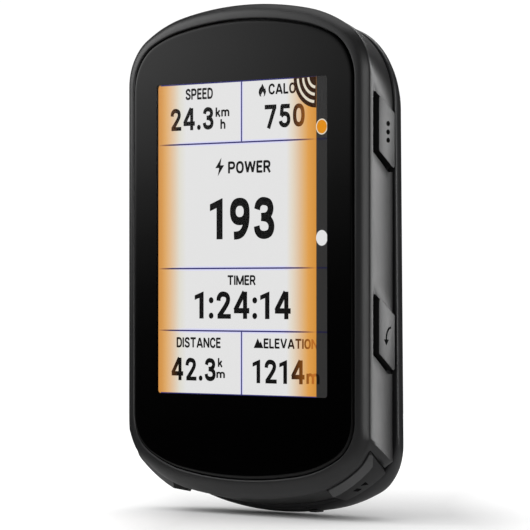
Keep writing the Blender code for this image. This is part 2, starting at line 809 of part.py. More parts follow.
# ---- mount insert and seal ----------------------------------------------------------------
def make_mount_insert():
    """The quarter-turn insert: a flange let into the back, a boss and two lugs."""
    centre = (0, MOUNT_HEIGHT)
    profile = [
        (0.0, MOUNT_FACE),
        (INSERT_BOSS - 0.4, MOUNT_FACE),
        (INSERT_BOSS, MOUNT_FACE - 0.4),
        (INSERT_BOSS, 16.35),
        (INSERT_FLANGE - 0.3, 16.35),
        (INSERT_FLANGE, 16.05),
        (INSERT_FLANGE, 15.7),
        (0.0, 15.7),
    ]
    insert = turned("quarter_turn_insert", profile, centre, SHELL, 40)
    for i, side in enumerate((1, -1)):
        lug = lug_block(f"add_lug_{i + 1}", side)
        combine(insert, lug, "UNION")
    for i, side in enumerate((1, -1)):
        place_at = (side * INSERT_SCREWS, MOUNT_HEIGHT)
        head = cylinder(f"cut_head_{i + 1}", 1.9, place_at, (17.6, 20.0), 16)
        combine(insert, head, "DIFFERENCE")
        shank = cylinder(f"cut_shank_{i + 1}", 1.15, place_at, (15.0, 18.0), 12)
        combine(insert, shank, "DIFFERENCE")
        screw = [
            (0.0, 18.9),
            (1.3, 18.9),
            (1.55, 18.6),
            (1.55, 17.9),
            (0.8, 17.9),
            (0.8, 15.1),
            (0.0, 14.95),
        ]
        turned(f"insert_screw_{i + 1}", screw, place_at, STEEL, 12)


def lug_block(name, side):
    """One lug: a sector of a ring that stands clear of the flange."""
    builder = bmesh.new()
    steps = 8
    spread = math.radians(38)
    faces = []
    for depth in (17.55, MOUNT_FACE - 0.25):
        row = []
        for radius in (INSERT_BOSS - 1.0, INSERT_LUG):
            for i in range(steps + 1):
                a = (-spread + 2 * spread * i / steps) * (1 if radius < INSERT_BOSS else -1)
                x = side * radius * math.cos(a)
                z = MOUNT_HEIGHT + radius * math.sin(a)
                row.append(builder.verts.new((x * MM, depth * MM, z * MM)))
        faces.append(row)
    count = len(faces[0])
    for i in range(count):
        j = (i + 1) % count
        builder.faces.new((faces[0][i], faces[0][j], faces[1][j], faces[1][i]))
    builder.faces.new(faces[0])
    builder.faces.new(faces[1])
    return object_from(builder, name, None)


def make_housing_seal():
    """The rubber ring that lies inside the joint between the housings."""
    sections = [
        (7.1, 26.1, 34.95, 43.15),
        (7.9, 25.95, 34.75, 43.15),
        (7.9, 25.55, 34.35, 42.75),
        (7.1, 25.7, 34.55, 42.75),
    ]
    ring_loft("housing_seal", sections, SILICONE, closed=True)


def main():
    housing = make_front_housing()
    rear = make_rear_housing()
    open_rear_housing(rear)
    make_cover_glass()
    make_glass_adhesive()
    make_display()
    make_display_frame()
    make_main_board()
    make_board_pieces()
    make_battery()
    make_port()
    make_port_cover()
    for spec in BUTTONS:
        make_button(spec, housing)
    make_side_flexes()
    make_mount_insert()
    make_housing_seal()


main()
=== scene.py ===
"""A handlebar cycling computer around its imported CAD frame: housings, glass with a lit display,
buttons, port cover and mount insert, each rebuilt finely, with procedural materials."""

from math import asin, atan2, copysign, cos, pi, radians, sin, sqrt, tan

import bmesh
import bpy
from mathutils import Matrix, Vector


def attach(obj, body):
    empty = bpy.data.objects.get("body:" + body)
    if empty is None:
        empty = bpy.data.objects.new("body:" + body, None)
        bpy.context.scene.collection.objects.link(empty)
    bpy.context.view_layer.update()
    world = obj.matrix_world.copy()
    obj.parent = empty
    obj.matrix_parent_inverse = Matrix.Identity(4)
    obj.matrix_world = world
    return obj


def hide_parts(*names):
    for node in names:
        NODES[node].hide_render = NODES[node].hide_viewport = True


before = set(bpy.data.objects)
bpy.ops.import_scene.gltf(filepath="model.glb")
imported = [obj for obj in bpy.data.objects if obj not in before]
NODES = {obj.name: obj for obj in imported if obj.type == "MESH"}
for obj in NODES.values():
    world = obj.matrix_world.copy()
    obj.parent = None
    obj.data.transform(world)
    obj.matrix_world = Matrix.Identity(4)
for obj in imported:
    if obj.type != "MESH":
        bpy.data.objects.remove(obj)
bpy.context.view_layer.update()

MM = 0.001
# Lengths here are in millimetres from the display's centre: X right, Y away from the rider, Z up.
# The frame's origin is on the mount insert's rear face, so everything is moved by this much.
SHIFT = Vector((0.0, -19.14, 3.55))

# ---- dimensions ---------------------------------------------------------------------------
BODY_HALF_WIDTH = 28.2
RIDGE = 1.0
SEAM = 6.7
GAP = 0.3                         # the width of the seam
# Arcs of an end: (crown radius, shoulder radius, angle where the crown ends, corner radius)
FRONT_TOP_ARCS = (78.0, 28.0, 0.19, 9.0)
FRONT_BOTTOM_ARCS = (85.0, 26.0, 0.16, 8.0)
REAR_TOP_ARCS = (58.0, 42.0, 0.25, 13.2)
REAR_BOTTOM_ARCS = (68.4, 35.9, 0.175, 8.4)
REAR_FLARE = 0.55                 # how much wider the rear shell is in its lower half
CROWN_STEPS = 14
SHOULDER_STEPS = 8
CORNER_STEPS = 16
SIDE_STEPS = 12
FLAT_STEPS = 4                    # on each side of the peak where the crease meets the side
CORNER_TAPER = 0.28               # how much faster the corner's radius shrinks than the outline
SMALLEST_CORNER = 3.0
CROWN_LIMIT = 0.8                 # how much of the way to the corner the crown may take up
CREASE_LIMIT = 0.06               # how near the facet may come to the shoulder, in radians
CREASE_SPAN = (0.1, 0.95)         # the depths over which the crease grows to its full strength
CREASE = (33.0, 0.683, 1.17)      # its height below the centre, slope, and depth at that height

GLASS_FRONT = -0.46
GLASS_BACK = 0.44
GLASS_SIZE = (25.65, 36.3, 40.15)       # half width, top and bottom
# The glass's rounded edge: (distance in from the edge, depth behind the front)
GLASS_EDGE = [(0.62, 0.0), (0.5, 0.004), (0.32, 0.03), (0.16, 0.10), (0.05, 0.21), (0.0, 0.36)]
INK_FRONT = 2                     # how many rows of the rounded edge are still printed black
FLAT_BORDER = 0.9                 # where the glass is flat from, measured from its edge
PICTURE_DEPTH = 0.405
MASK_DEPTH = 0.397
STRIP_DEPTH = 0.372
HALO_DEPTH = 0.362
RULE_DEPTH = 0.352
WORD_DEPTH = 0.335
DISC_DEPTH = 0.322
MARK_DEPTH = 0.312
MOUNT_FACE = 19.14
MOUNT_HEIGHT = -3.55
LUG_SPREAD = 38                   # half the angle that a lug of the insert takes up
SCREW_PLACE = 6.0                 # how far the insert's screws are from its middle

# The bezel's cross section from the lip beside the glass to the ridge: (depth, share of the way)
BEZEL_PROFILE = [
    (-0.12, -0.035), (-0.22, -0.005), (-0.28, 0.04), (-0.28, 0.12), (-0.25, 0.24), (-0.17, 0.38),
    (-0.05, 0.51), (0.11, 0.64), (0.31, 0.76), (0.53, 0.865), (0.76, 0.955), (0.90, 0.997),
]
LIP = (25.95, 36.60, 40.45)       # (half width, top, bottom) of the bezel beside the glass
RIDGE_SIZE = (28.20, 39.02, 43.45)
# Sections: (depth, half width, top, bottom). The wall runs from the ridge to the seam.
WALL = [
    (0.98, 28.22, 39.02, 43.47), (1.12, 28.25, 39.00, 43.53), (1.60, 28.29, 38.84, 43.62),
    (2.40, 28.31, 38.60, 43.80), (3.40, 28.29, 38.31, 44.05), (4.40, 28.23, 38.05, 44.28),
    (5.30, 28.13, 37.83, 44.47), (6.00, 28.02, 37.66, 44.61), (6.60, 27.90, 37.52, 44.66),
    (6.84, 27.80, 37.42, 44.60), (6.92, 27.62, 37.26, 44.42),
]
WALL_INSIDE = [
    (6.92, 26.60, 35.60, 43.10), (3.60, 26.60, 36.40, 42.60), (1.85, 26.60, 36.90, 41.60),
    (1.85, 23.90, 34.40, 38.20), (1.25, 23.90, 34.40, 38.20), (1.25, 25.90, 36.55, 40.40),
    (0.00, 25.90, 36.55, 40.40),
]
BACK_OUTSIDE = [
    (7.16, 27.66, 37.15, 44.85), (7.18, 27.84, 37.34, 45.08), (7.28, 27.98, 37.48, 45.28),
    (7.48, 28.02, 37.52, 45.42), (8.00, 27.88, 37.46, 45.62), (8.60, 27.60, 37.30, 45.80),
    (9.40, 27.18, 36.62, 46.00), (10.20, 26.60, 35.80, 46.08), (10.80, 25.98, 34.85, 46.09),
    (11.30, 25.20, 33.80, 46.08), (12.00, 24.20, 32.45, 45.85), (12.60, 23.10, 31.00, 45.50),
    (13.40, 21.75, 29.65, 44.70), (14.20, 20.30, 28.20, 43.70), (14.85, 19.05, 26.65, 42.40),
    (15.40, 17.60, 24.90, 40.80), (15.78, 16.30, 23.30, 39.30), (15.96, 15.10, 21.80, 37.80),
    (16.00, 14.60, 21.10, 37.10),
]
# The rib inside the seam, which backs the gaps around the buttons: (depth, half width, top, bottom)
SEAM_RIB = [
    (6.33, 25.75, 34.05, 42.40), (7.94, 25.75, 34.05, 42.40), (7.94, 26.80, 35.60, 43.60),
    (8.07, 26.80, 35.60, 43.60), (8.07, 25.15, 33.45, 41.90), (6.33, 25.15, 33.45, 41.90),
]
BACK_INSIDE = [
    (14.30, 14.40, 21.00, 35.80), (12.30, 20.80, 28.40, 41.50), (9.90, 25.10, 33.40, 43.50),
    (8.60, 26.10, 34.90, 43.50), (7.16, 26.60, 35.60, 43.50),
]

# The pocket for the port cover and the notch for its tether, both under the chin, as corners;
# the port's mouth, as ((half width, half thickness), low, high); and the cover's parts likewise.
PORT_DEPTH = 9.7
PORT_CUTS = [((-7.9, 7.3, -48.0), (7.9, 12.3, -44.6)), ((7.4, 8.4, -48.0), (9.1, 11.2, -45.1))]
PORT_MOUTH = ((4.72, 1.85), -48.0, -41.0)
FLAP = ((-7.6, 7.6, -48.0), (7.6, 12.0, -44.9))
PLUG = ((3.9, 1.2), -45.3, -43.7)
TETHER = ((7.1, 8.8, -45.8), (8.7, 10.8, -45.4))
# The insert's seat and the vent: (radius, depth of the bottom, height, steps around)
SHELL_HOLES = [(13.7, 15.4, MOUNT_HEIGHT, 96), (0.6, 13.0, 16.5, 24)]

# Buttons: (name, centre x, centre z, direction in degrees from +X, kind). Outlines of buttons,
# slots and marks are in (depth, distance along the wall), drawn for the right-hand side.
BUTTONS = [
    ("menu", 28.2, 18.5, 0, "side"),
    ("back", 28.2, -14.3, 0, "side"),
    ("power", -28.2, 18.5, 180, "side"),
    ("up", -28.2, 2.1, 180, "side"),
    ("down", -28.2, -14.3, 180, "side"),
    ("start", 22.6, -39.9, -54.2, "corner"),
    ("lap", -22.6, -39.9, 180 + 54.2, "corner"),
]
KINDS = {
    "side": {
        "outline": [(2.4, 4.6), (6.2, 1.5), (6.2, -7.75), (2.4, -4.65)],
        "slot": [(1.62, 4.95), (2.2, 4.95), (7.6, 0.54), (7.6, -8.02), (5.35, -8.02),
                 (1.62, -4.85)],
        "face": 0.7,
        "inner": -2.3,
        "flange": ((2.2, 6.0), (-8.2, 4.9)),
        "corner_radius": 0.45,
        "rounding": 0.22,
        "slot_radius": 0.45,
    },
    "corner": {
        "outline": [(1.75, 7.0), (6.1, 4.4), (6.1, -5.6), (1.75, -4.5)],
        "slot": [(1.5, 7.3), (7.6, 3.7), (7.6, -6.25), (1.5, -4.75)],
        "face": 4.0,
        "inner": -4.6,
        "flange": ((2.2, 5.9), (-6.0, 7.3)),
        "corner_radius": 0.35,
        "rounding": 0.2,
        "slot_radius": 0.4,
    },
}
THROUGH = (-6.0, 6.0)             # how far a slot's cut reaches in and out
# How far a corner button stands out of the wall at a depth: (depth, distance)
CORNER_FACE = [(1.1, -0.65), (1.5, -0.25), (2.45, 1.4), (6.2, 1.4)]
# The slanted end of a corner button: where it is along the wall and out of it, and its lean
CORNER_END = (8.2, -1.6, radians(50))
FAR = 9.0                         # half the size of a block that cuts a whole button's end
FACET_END = 2.6                   # the depth where a corner button's front facet has ended
MARK_PROUD = 0.015                # how far the printed marks stand out of a button
MARK_SUNK = 0.12


def srgb(red, green, blue):
    """A colour given in display values from 0 to 255, made linear."""
    def linear(value):
        share = value / 255
        return share / 12.92 if share <= 0.04045 else ((share + 0.055) / 1.055) ** 2.4
    return (linear(red), linear(green), linear(blue), 1.0)


# ---- materials ------------------------------------------------------------------------------
GLOW = 1.07        # what the glass takes from the display's light is put back here
CELL = 0.163       # the width of a display cell


class Nodes:
    """A material's node tree with short calls."""

    def __init__(self, name):
        self.material = bpy.data.materials.new(name)
        self.material.use_nodes = True
        self.tree = self.material.node_tree
        self.shader = self.tree.nodes["Principled BSDF"]
        self.coordinates = self.tree.nodes.new("ShaderNodeTexCoord").outputs["Object"]

    def add(self, kind, inputs=None, **settings):
        node = self.tree.nodes.new(kind)
        for key, value in settings.items():
            setattr(node, key, value)
        for key, value in (inputs or {}).items():
            self.put(node.inputs[key], value)
        return node

    def put(self, socket, value):
        if isinstance(value, bpy.types.NodeSocket):
            self.tree.links.new(value, socket)
        else:
            socket.default_value = value

    def set(self, **inputs):
        for key, value in inputs.items():
            self.put(self.shader.inputs[key.replace("_", " ")], value)

    def noise(self, size_mm, detail=2.0, roughness=0.5):
        """Noise whose blobs are about this many millimetres across, from 0 to 1."""
        node = self.add(
            "ShaderNodeTexNoise",
            {"Vector": self.coordinates, "Scale": 1 / (size_mm * MM), "Detail": detail,
             "Roughness": roughness},
        )
        return node.outputs["Fac"]

    def span(self, value, low, high, start=0.0, end=1.0):
        node = self.add(
            "ShaderNodeMapRange",
            {"Value": value, "From Min": start, "From Max": end, "To Min": low, "To Max": high},
        )
        return node.outputs["Result"]

    def ramp(self, value, stops):
        node = self.add("ShaderNodeValToRGB", {"Fac": value})
        elements = node.color_ramp.elements
        while len(elements) < len(stops):
            elements.new(0.5)
        for element, (place, colour) in zip(elements, stops):
            element.position = place
            element.color = colour
        return node.outputs["Color"]

    def math(self, operation, first, second=0.0):
        node = self.add("ShaderNodeMath", {0: first, 1: second}, operation=operation)
        return node.outputs["Value"]

    def mix(self, factor, first, second, blend="MIX"):
        node = self.add("ShaderNodeMix", {0: factor, 6: first, 7: second}, data_type="RGBA",
                        blend_type=blend)
        return node.outputs[2]

    def bump(self, height, strength, distance_mm):
        node = self.add(
            "ShaderNodeBump",
            {"Height": height, "Strength": strength, "Distance": distance_mm * MM},
        )
        self.put(self.shader.inputs["Normal"], node.outputs["Normal"])


def shade(colour, factor):
    return (*(channel * factor for channel in colour[:3]), 1.0)


def moulded(name, colour, roughness, grain=0.16, strength=0.25, depth=0.02, specular=0.5):
    """Moulded plastic or rubber: a fine spark-eroded grain, faint flow marks and dust."""
    nodes = Nodes(name)
    fine = nodes.noise(grain, 3.0, 0.6)
    flow = nodes.noise(9.0, 2.0)
    dust = nodes.noise(0.7, 4.0, 0.7)
    tone = nodes.math("ADD", nodes.math("MULTIPLY", fine, 0.5), nodes.math("MULTIPLY", flow, 0.5))
    colours = nodes.ramp(tone, [(0.3, shade(colour, 0.86)), (0.7, shade(colour, 1.16))])
    rough = nodes.math("ADD", nodes.span(flow, roughness - 0.05, roughness + 0.03),
                       nodes.span(dust, -0.03, 0.05))
    nodes.set(Base_Color=colours, Roughness=rough, Specular_IOR_Level=specular)
    nodes.bump(fine, strength, depth)
    return nodes.material


def brushed(name, colour, roughness, grain=0.35):
    """Sheet metal with a faint rolled grain and handling marks."""
    nodes = Nodes(name)
    stretched = nodes.add(
        "ShaderNodeMapping", {"Vector": nodes.coordinates, "Scale": (0.08, 1.0, 1.0)}
    ).outputs["Vector"]
    rolled = nodes.add(
        "ShaderNodeTexNoise",
        {"Vector": stretched, "Scale": 1 / (grain * MM), "Detail": 4.0, "Roughness": 0.6},
    ).outputs["Fac"]
    marks = nodes.noise(3.0, 3.0)
    colours = nodes.ramp(rolled, [(0.3, shade(colour, 0.82)), (0.7, shade(colour, 1.1))])
    rough = nodes.math("ADD", nodes.span(rolled, roughness - 0.08, roughness + 0.08),
                       nodes.span(marks, -0.04, 0.06))
    nodes.set(Base_Color=colours, Roughness=rough, Metallic=1.0)
    nodes.bump(rolled, 0.15, 0.01)
    return nodes.material


def layered(name, colour, second, roughness, cell, metallic=0.0):
    """Boards, flexes and pouches: a base with fine lines of a second colour."""
    nodes = Nodes(name)
    lines = nodes.add(
        "ShaderNodeTexBrick",
        {"Vector": nodes.coordinates, "Scale": 1 / (cell * MM), "Mortar Size": 0.03,
         "Color1": shade(colour, 1.0), "Color2": shade(colour, 0.8), "Mortar": second},
    )
    wear = nodes.noise(1.5, 3.0)
    nodes.set(Base_Color=lines.outputs["Color"], Metallic=metallic,
              Roughness=nodes.span(wear, roughness - 0.08, roughness + 0.08))
    height = nodes.math("ADD", lines.outputs["Fac"], nodes.math("MULTIPLY", wear, 0.3))
    nodes.bump(height, 0.3, 0.02)
    return nodes.material


def ink_specks(nodes, dark, light):
    """Printed black with faint specks."""
    specks = nodes.noise(0.3, 3.0)
    return specks, nodes.ramp(specks, [(0.3, (*dark, 1)), (0.7, (*light, 1))])


def printed_black():
    """The printed black behind the glass."""
    nodes = Nodes("printed_mask")
    specks, colours = ink_specks(nodes, (0.002, 0.002, 0.002), (0.004, 0.004, 0.0045))
    nodes.set(Base_Color=colours, Roughness=nodes.span(specks, 0.75, 0.9), Specular_IOR_Level=0.0)
    return nodes.material


def glass(name, roughest, tint, printed=False):
    """Glass with faint smears, either clear or with black ink right behind it."""
    nodes = Nodes(name)
    smears = nodes.noise(14.0, 3.0, 0.6)
    nodes.set(Roughness=nodes.span(smears, 0.0, roughest, 0.45, 0.8), IOR=1.5,
              Specular_Tint=(tint, tint, tint, 1.0))
    if printed:
        nodes.set(Base_Color=ink_specks(nodes, (0.0006, 0.0006, 0.0006),
                                        (0.0012, 0.0012, 0.0014))[1])
    else:
        nodes.set(Base_Color=(1.0, 1.0, 1.0, 1.0), Transmission_Weight=1.0)
    nodes.bump(smears, 0.1, 0.002)
    return nodes.material


def glowing(nodes, colour, strength):
    """Finishes a material of the display, which gives off its own light."""
    nodes.set(Base_Color=(0.02, 0.02, 0.02, 1.0), Roughness=0.8, Specular_IOR_Level=0.0,
              Emission_Color=colour, Emission_Strength=strength)
    return nodes.material


def cells(nodes, colour, mortar):
    """The faint grid of the display's cells, in the plane that faces the rider."""
    parts = nodes.add("ShaderNodeSeparateXYZ", {"Vector": nodes.coordinates}).outputs
    plane = nodes.add("ShaderNodeCombineXYZ", {"X": parts["X"], "Y": parts["Z"]})
    bricks = nodes.add(
        "ShaderNodeTexBrick",
        {"Vector": plane.outputs["Vector"], "Scale": 1 / (CELL * MM), "Mortar Size": 0.04,
         "Brick Width": 1.0, "Row Height": 1.0, "Color1": colour, "Color2": colour,
         "Mortar": mortar},
        offset=0.0,
    )
    return bricks.outputs["Color"]


def lit(name, colour, strength=GLOW):
    """A lit part of the display in one colour, in display values."""
    nodes = Nodes(name)
    colour = srgb(*colour)
    return glowing(nodes, cells(nodes, colour, shade(colour, 0.86)), strength)


def lit_across(name, stops):
    """A lit area whose colour changes across the display, from rows of x and display values."""
    nodes = Nodes(name)
    across = nodes.add("ShaderNodeSeparateXYZ", {"Vector": nodes.coordinates}).outputs["X"]
    low, high = stops[0][0], stops[-1][0]
    share = nodes.span(across, 0.0, 1.0, low * MM, high * MM)
    colour = nodes.ramp(share, [((x - low) / (high - low), srgb(*rgb)) for x, *rgb in stops])
    grid = cells(nodes, (1, 1, 1, 1), (0.9, 0.9, 0.9, 1))
    return glowing(nodes, nodes.mix(1.0, colour, grid, "MULTIPLY"), GLOW)


SATIN = moulded("satin_black_plastic", (0.019, 0.019, 0.0195), 0.38, 0.15, 0.2)
SHELL = moulded("rear_black_plastic", (0.013, 0.013, 0.014), 0.44, 0.2, 0.3, 0.025, 0.3)
BUTTON = moulded("button_plastic", (0.030, 0.030, 0.031), 0.40, 0.13, 0.2)
# Painted shade: a darker, duller version of the button material for a side button's sides inside its
# slot.
BUTTON_SIDE_PAINTED_SHADE = moulded("button_side_painted_shade", (0.006, 0.006, 0.006), 0.75, 0.13, 0.2, specular=0.15)
# Painted shade: the corner buttons' plastic is darker than the side buttons' so that their undersides,
# which face the floor, look shaded.
CORNER_BUTTON_PAINTED_SHADE = moulded("corner_button_painted_shade", (0.013, 0.013, 0.0135), 0.5, 0.13, 0.2,
                        specular=0.3)
# Painted highlight: a much lighter copy of the corner button plastic for its front facet, which faces
# the light.
CORNER_FACET_PAINTED_LIGHT = moulded("corner_facet_painted_light", (0.072, 0.072, 0.073), 0.5, 0.13, 0.2,
                       specular=0.2)
RUBBER = moulded("port_rubber", (0.017, 0.017, 0.017), 0.68, 0.12, 0.3)
INSERT = moulded("insert_plastic", (0.020, 0.020, 0.021), 0.40, 0.2, 0.25)
INK = moulded("icon_ink", (0.002, 0.002, 0.002), 0.8, 0.1, 0.2, specular=0.04)
SILICONE = moulded("grey_silicone", (0.16, 0.16, 0.17), 0.62)
ADHESIVE = moulded("adhesive_tape", (0.03, 0.03, 0.03), 0.8, 0.3, 0.5)
WHITE = moulded("white_plastic", (0.72, 0.72, 0.70), 0.42)
CERAMIC = moulded("antenna_ceramic", (0.62, 0.55, 0.42), 0.55, 0.3, 0.3)
FOAM = moulded("foam", (0.03, 0.03, 0.03), 0.95, 0.5, 1.0, 0.1)
STEEL = brushed("sheet_steel", (0.50, 0.50, 0.51), 0.34)
SCREW = brushed("screw_steel", (0.20, 0.20, 0.21), 0.38, 0.2)
BOARD = layered("circuit_board", (0.008, 0.07, 0.04, 1), (0.03, 0.16, 0.09, 1), 0.42, 1.2)
FLEX = layered("flex_circuit", (0.42, 0.20, 0.05, 1), (0.55, 0.32, 0.12, 1), 0.38, 0.8)
POUCH = layered("battery_pouch", (0.34, 0.35, 0.37, 1), (0.22, 0.22, 0.24, 1), 0.36, 9.0, 0.6)
MASK = printed_black()
EDGE_INK = moulded("glass_edge_ink", (0.013, 0.013, 0.013), 0.5, 0.3, 0.02, specular=0.2)
CLEAR = glass("cover_glass_clear", 0.035, 0.35)
COATED = glass("cover_glass_window", 0.02, 0.0)           # over the lit area
PRINTED = glass("cover_glass_printed", 0.035, 0.35, printed=True)


# ---- making meshes --------------------------------------------------------------------------
def linked(name, data):
    """A new object in the scene."""
    obj = bpy.data.objects.new(name, data)
    bpy.context.scene.collection.objects.link(obj)
    return obj


def evaluated(obj):
    """An object's mesh with its modifiers or its fill."""
    bpy.context.view_layer.update()
    shown = obj.evaluated_get(bpy.context.evaluated_depsgraph_get())
    return bpy.data.meshes.new_from_object(shown)


def finished(builder, name, material, smooth=True, sharp=32):
    """A bmesh in millimetres as an object in the frame's metres."""
    bmesh.ops.recalc_face_normals(builder, faces=builder.faces)
    mesh = bpy.data.meshes.new(name)
    builder.to_mesh(mesh)
    builder.free()
    mesh.transform(Matrix.Scale(MM, 4) @ Matrix.Translation(SHIFT))
    if smooth:
        mesh.shade_smooth()
        mesh.set_sharp_from_angle(angle=radians(sharp))
    if material:
        mesh.materials.append(material)
    return linked(name, mesh)


def settled(obj, sharp=32):
    """Applies an object's modifiers to its mesh. With no angle, its shading stays as it is."""
    mesh = evaluated(obj)
    obj.modifiers.clear()
    obj.data = mesh
    if sharp:
        mesh.shade_smooth()
        mesh.set_sharp_from_angle(angle=radians(sharp))
    return obj


def combined(obj, other, operation):
    """Joins, cuts or keeps what another object covers, and removes the other object."""
    boolean = obj.modifiers.new("boolean", "BOOLEAN")
    boolean.operation = operation
    boolean.object = other
    boolean.solver = "EXACT"
    settled(obj)
    bpy.data.objects.remove(other, do_unlink=True)
    return obj


def rounded(obj, width, segments=2, angle=30, sharp=45):
    """Rounds the edges that are sharper than an angle."""
    bevel = obj.modifiers.new("rounding", "BEVEL")
    bevel.width = width * MM
    bevel.segments = segments
    bevel.limit_method = "ANGLE"
    bevel.angle_limit = radians(angle)
    bevel.use_clamp_overlap = True
    bevel.miter_outer = "MITER_ARC"
    return settled(obj, sharp)


def steadied(obj):
    """Gives the large flat faces the say over the shading along their edges."""
    obj.modifiers.new("weights", "WEIGHTED_NORMAL").keep_sharp = True
    return settled(obj, None)


def skin(builder, first, second):
    """Faces between two loops of vertices."""
    for i in range(len(first)):
        j = (i + 1) % len(first)
        builder.faces.new((first[i], first[j], second[j], second[i]))


def spanned(name, first, second, material=None, smooth=True):
    """A closed block between two outlines in space."""
    builder = bmesh.new()
    ends = [[builder.verts.new(place) for place in points] for points in (first, second)]
    skin(builder, *ends)
    for end in ends:
        builder.faces.new(end)
    return finished(builder, name, material, smooth)


def arc(centre, radius, start, end, steps):
    angles = [start + (end - start) * i / steps for i in range(steps)]
    return [(centre[0] + radius * sin(a), centre[1] + radius * cos(a)) for a in angles]


def between(first, second, share):
    return [a + (b - a) * share for a, b in zip(first, second)]


def quarter(half_width, height, arcs, crease=None, weight=0.0):
    """The outline from the middle of one end to the side, as crown, shoulder and corner.

    A crease is the height where a straight side meets a flat facet that runs on to the corner.
    """
    crown, shoulder, crown_end, corner = arcs
    corner = max(corner - CORNER_TAPER * (BODY_HALF_WIDTH - half_width), SMALLEST_CORNER)
    # On a narrow outline the crown ends sooner, before it would meet the corner.
    room = asin((half_width - corner) / (crown - corner))
    crown_end = min(crown_end, CROWN_LIMIT * room)
    crown_centre = (0.0, height - crown)
    reach = crown - shoulder
    shoulder_centre = (
        crown_centre[0] + reach * sin(crown_end),
        crown_centre[1] + reach * cos(crown_end),
    )
    across = half_width - corner - shoulder_centre[0]
    along = sqrt((shoulder - corner) ** 2 - across ** 2)
    corner_centre = (half_width - corner, shoulder_centre[1] + along)
    shoulder_end = atan2(across, along)
    points = arc(crown_centre, crown, 0.0, crown_end, CROWN_STEPS)
    points += arc(shoulder_centre, shoulder, crown_end, shoulder_end, SHOULDER_STEPS)
    bend = arc(corner_centre, corner, shoulder_end, pi / 2, CORNER_STEPS)
    rise = 0.0 if crease is None else crease - corner_centre[1]
    rise = min(rise, corner * tan((pi / 2 - shoulder_end - CREASE_LIMIT) / 2))
    if rise > 0 and weight > 0:
        touch = pi / 2 - 2 * atan2(rise, corner)
        made = arc(corner_centre, corner, shoulder_end, touch, CORNER_STEPS - 2 * FLAT_STEPS)
        tangent = (
            corner_centre[0] + corner * sin(touch),
            corner_centre[1] + corner * cos(touch),
        )
        peak = (half_width, corner_centre[1] + rise)
        for first, second in ((tangent, peak), (peak, (half_width, corner_centre[1]))):
            made += [between(first, second, i / FLAT_STEPS) for i in range(FLAT_STEPS)]
        bend = [tuple(between(a, b, weight)) for a, b in zip(bend, made)]
    return points + bend + [(half_width, corner_centre[1])]


def crease_at(depth):
    """How far below the centre the crease of the side is, and how strong it is, at a depth."""
    start, end = CREASE_SPAN
    height, slope, level = CREASE
    weight = min(max((depth - start) / (end - start), 0.0), 1.0)
    return height + slope * (depth - level), weight


def outline(half_width, top, bottom, depth=0.0, creased=False):
    """The whole outline in (x, z) at a depth, clockwise from the middle of the top."""
    share = min(max((depth - RIDGE) / (SEAM - RIDGE), 0.0), 1.0)
    top_arcs = between(FRONT_TOP_ARCS, REAR_TOP_ARCS, share)
    bottom_arcs = between(FRONT_BOTTOM_ARCS, REAR_BOTTOM_ARCS, share)
    flare = REAR_FLARE if depth > SEAM + GAP else 0.0
    crease, weight = crease_at(depth) if creased else (None, 0.0)
    upper = quarter(half_width, top, top_arcs)
    lower = quarter(half_width + flare, bottom, bottom_arcs, crease, weight)
    lower = [(x, -z) for x, z in reversed(lower)]
    side = [tuple(between(upper[-1], lower[0], i / SIDE_STEPS)) for i in range(1, SIDE_STEPS)]
    right = upper + side + lower
    left = [(-x, z) for x, z in reversed(right[1:-1])]
    return right + left


def ring_loft(name, sections, material, closed=False, creased=0):
    """A surface through body sections. A closed one is a frame; an open one gets end caps.

    The first sections, as many as creased says, have the crease in their sides.
    """
    builder = bmesh.new()
    rings = []
    for number, (depth, half_width, top, bottom) in enumerate(sections):
        points = outline(half_width, top, bottom, depth, number < creased)
        rings.append([builder.verts.new((x, depth, z)) for x, z in points])
    pairs = list(zip(rings, rings[1:]))
    if closed:
        pairs.append((rings[-1], rings[0]))
    for first, second in pairs:
        skin(builder, first, second)
    if not closed:
        # A narrow flat border keeps the shading of a cap flat.
        for ring in (rings[0], rings[-1]):
            middle = sum((vert.co for vert in ring), Vector()) / len(ring)
            inner = [builder.verts.new(vert.co.lerp(middle, 0.04)) for vert in ring]
            skin(builder, ring, inner)
            builder.faces.new(inner)
    return finished(builder, name, material)


def directions(placing):
    """A button's place, the way out of the wall there, and the way along it."""
    (centre_x, centre_z), angle = placing
    turn = radians(angle)
    out = Vector((cos(turn), 0, sin(turn)))
    along = Vector((-sin(turn), 0, cos(turn)))
    return Vector((centre_x, 0, centre_z)), out, along


def prism(name, points, span, material, placing):
    """A block whose outline is in (depth, along the wall), pushed out along its direction."""
    centre, out, along = directions(placing)
    ends = [[centre + Vector((0, depth, 0)) + out * reach + along * s for depth, s in points]
            for reach in span]
    return spanned(name, *ends, material)


def soft_corners(points, radius, steps=5):
    """A polygon with its corners rounded."""
    result = []
    count = len(points)
    for i in range(count):
        corner = Vector(points[i])
        before = Vector(points[i - 1]) - corner
        after = Vector(points[(i + 1) % count]) - corner
        half = before.angle(after) / 2
        cut = min(radius / tan(half), 0.45 * before.length, 0.45 * after.length)
        start = corner + before.normalized() * cut
        end = corner + after.normalized() * cut
        for k in range(steps + 1):
            t = k / steps
            point = start * (1 - t) ** 2 + corner * 2 * t * (1 - t) + end * t ** 2
            result.append((point.x, point.y))
    return result


def block(name, low, high, material=None):
    """A plain block in millimetres, for cutting."""
    builder = bmesh.new()
    bmesh.ops.create_cube(builder, size=1.0)
    for vertex in builder.verts:
        vertex.co = Vector(
            (low[i] + (high[i] - low[i]) * (vertex.co[i] + 0.5) for i in range(3))
        )
    return finished(builder, name, material, smooth=False)


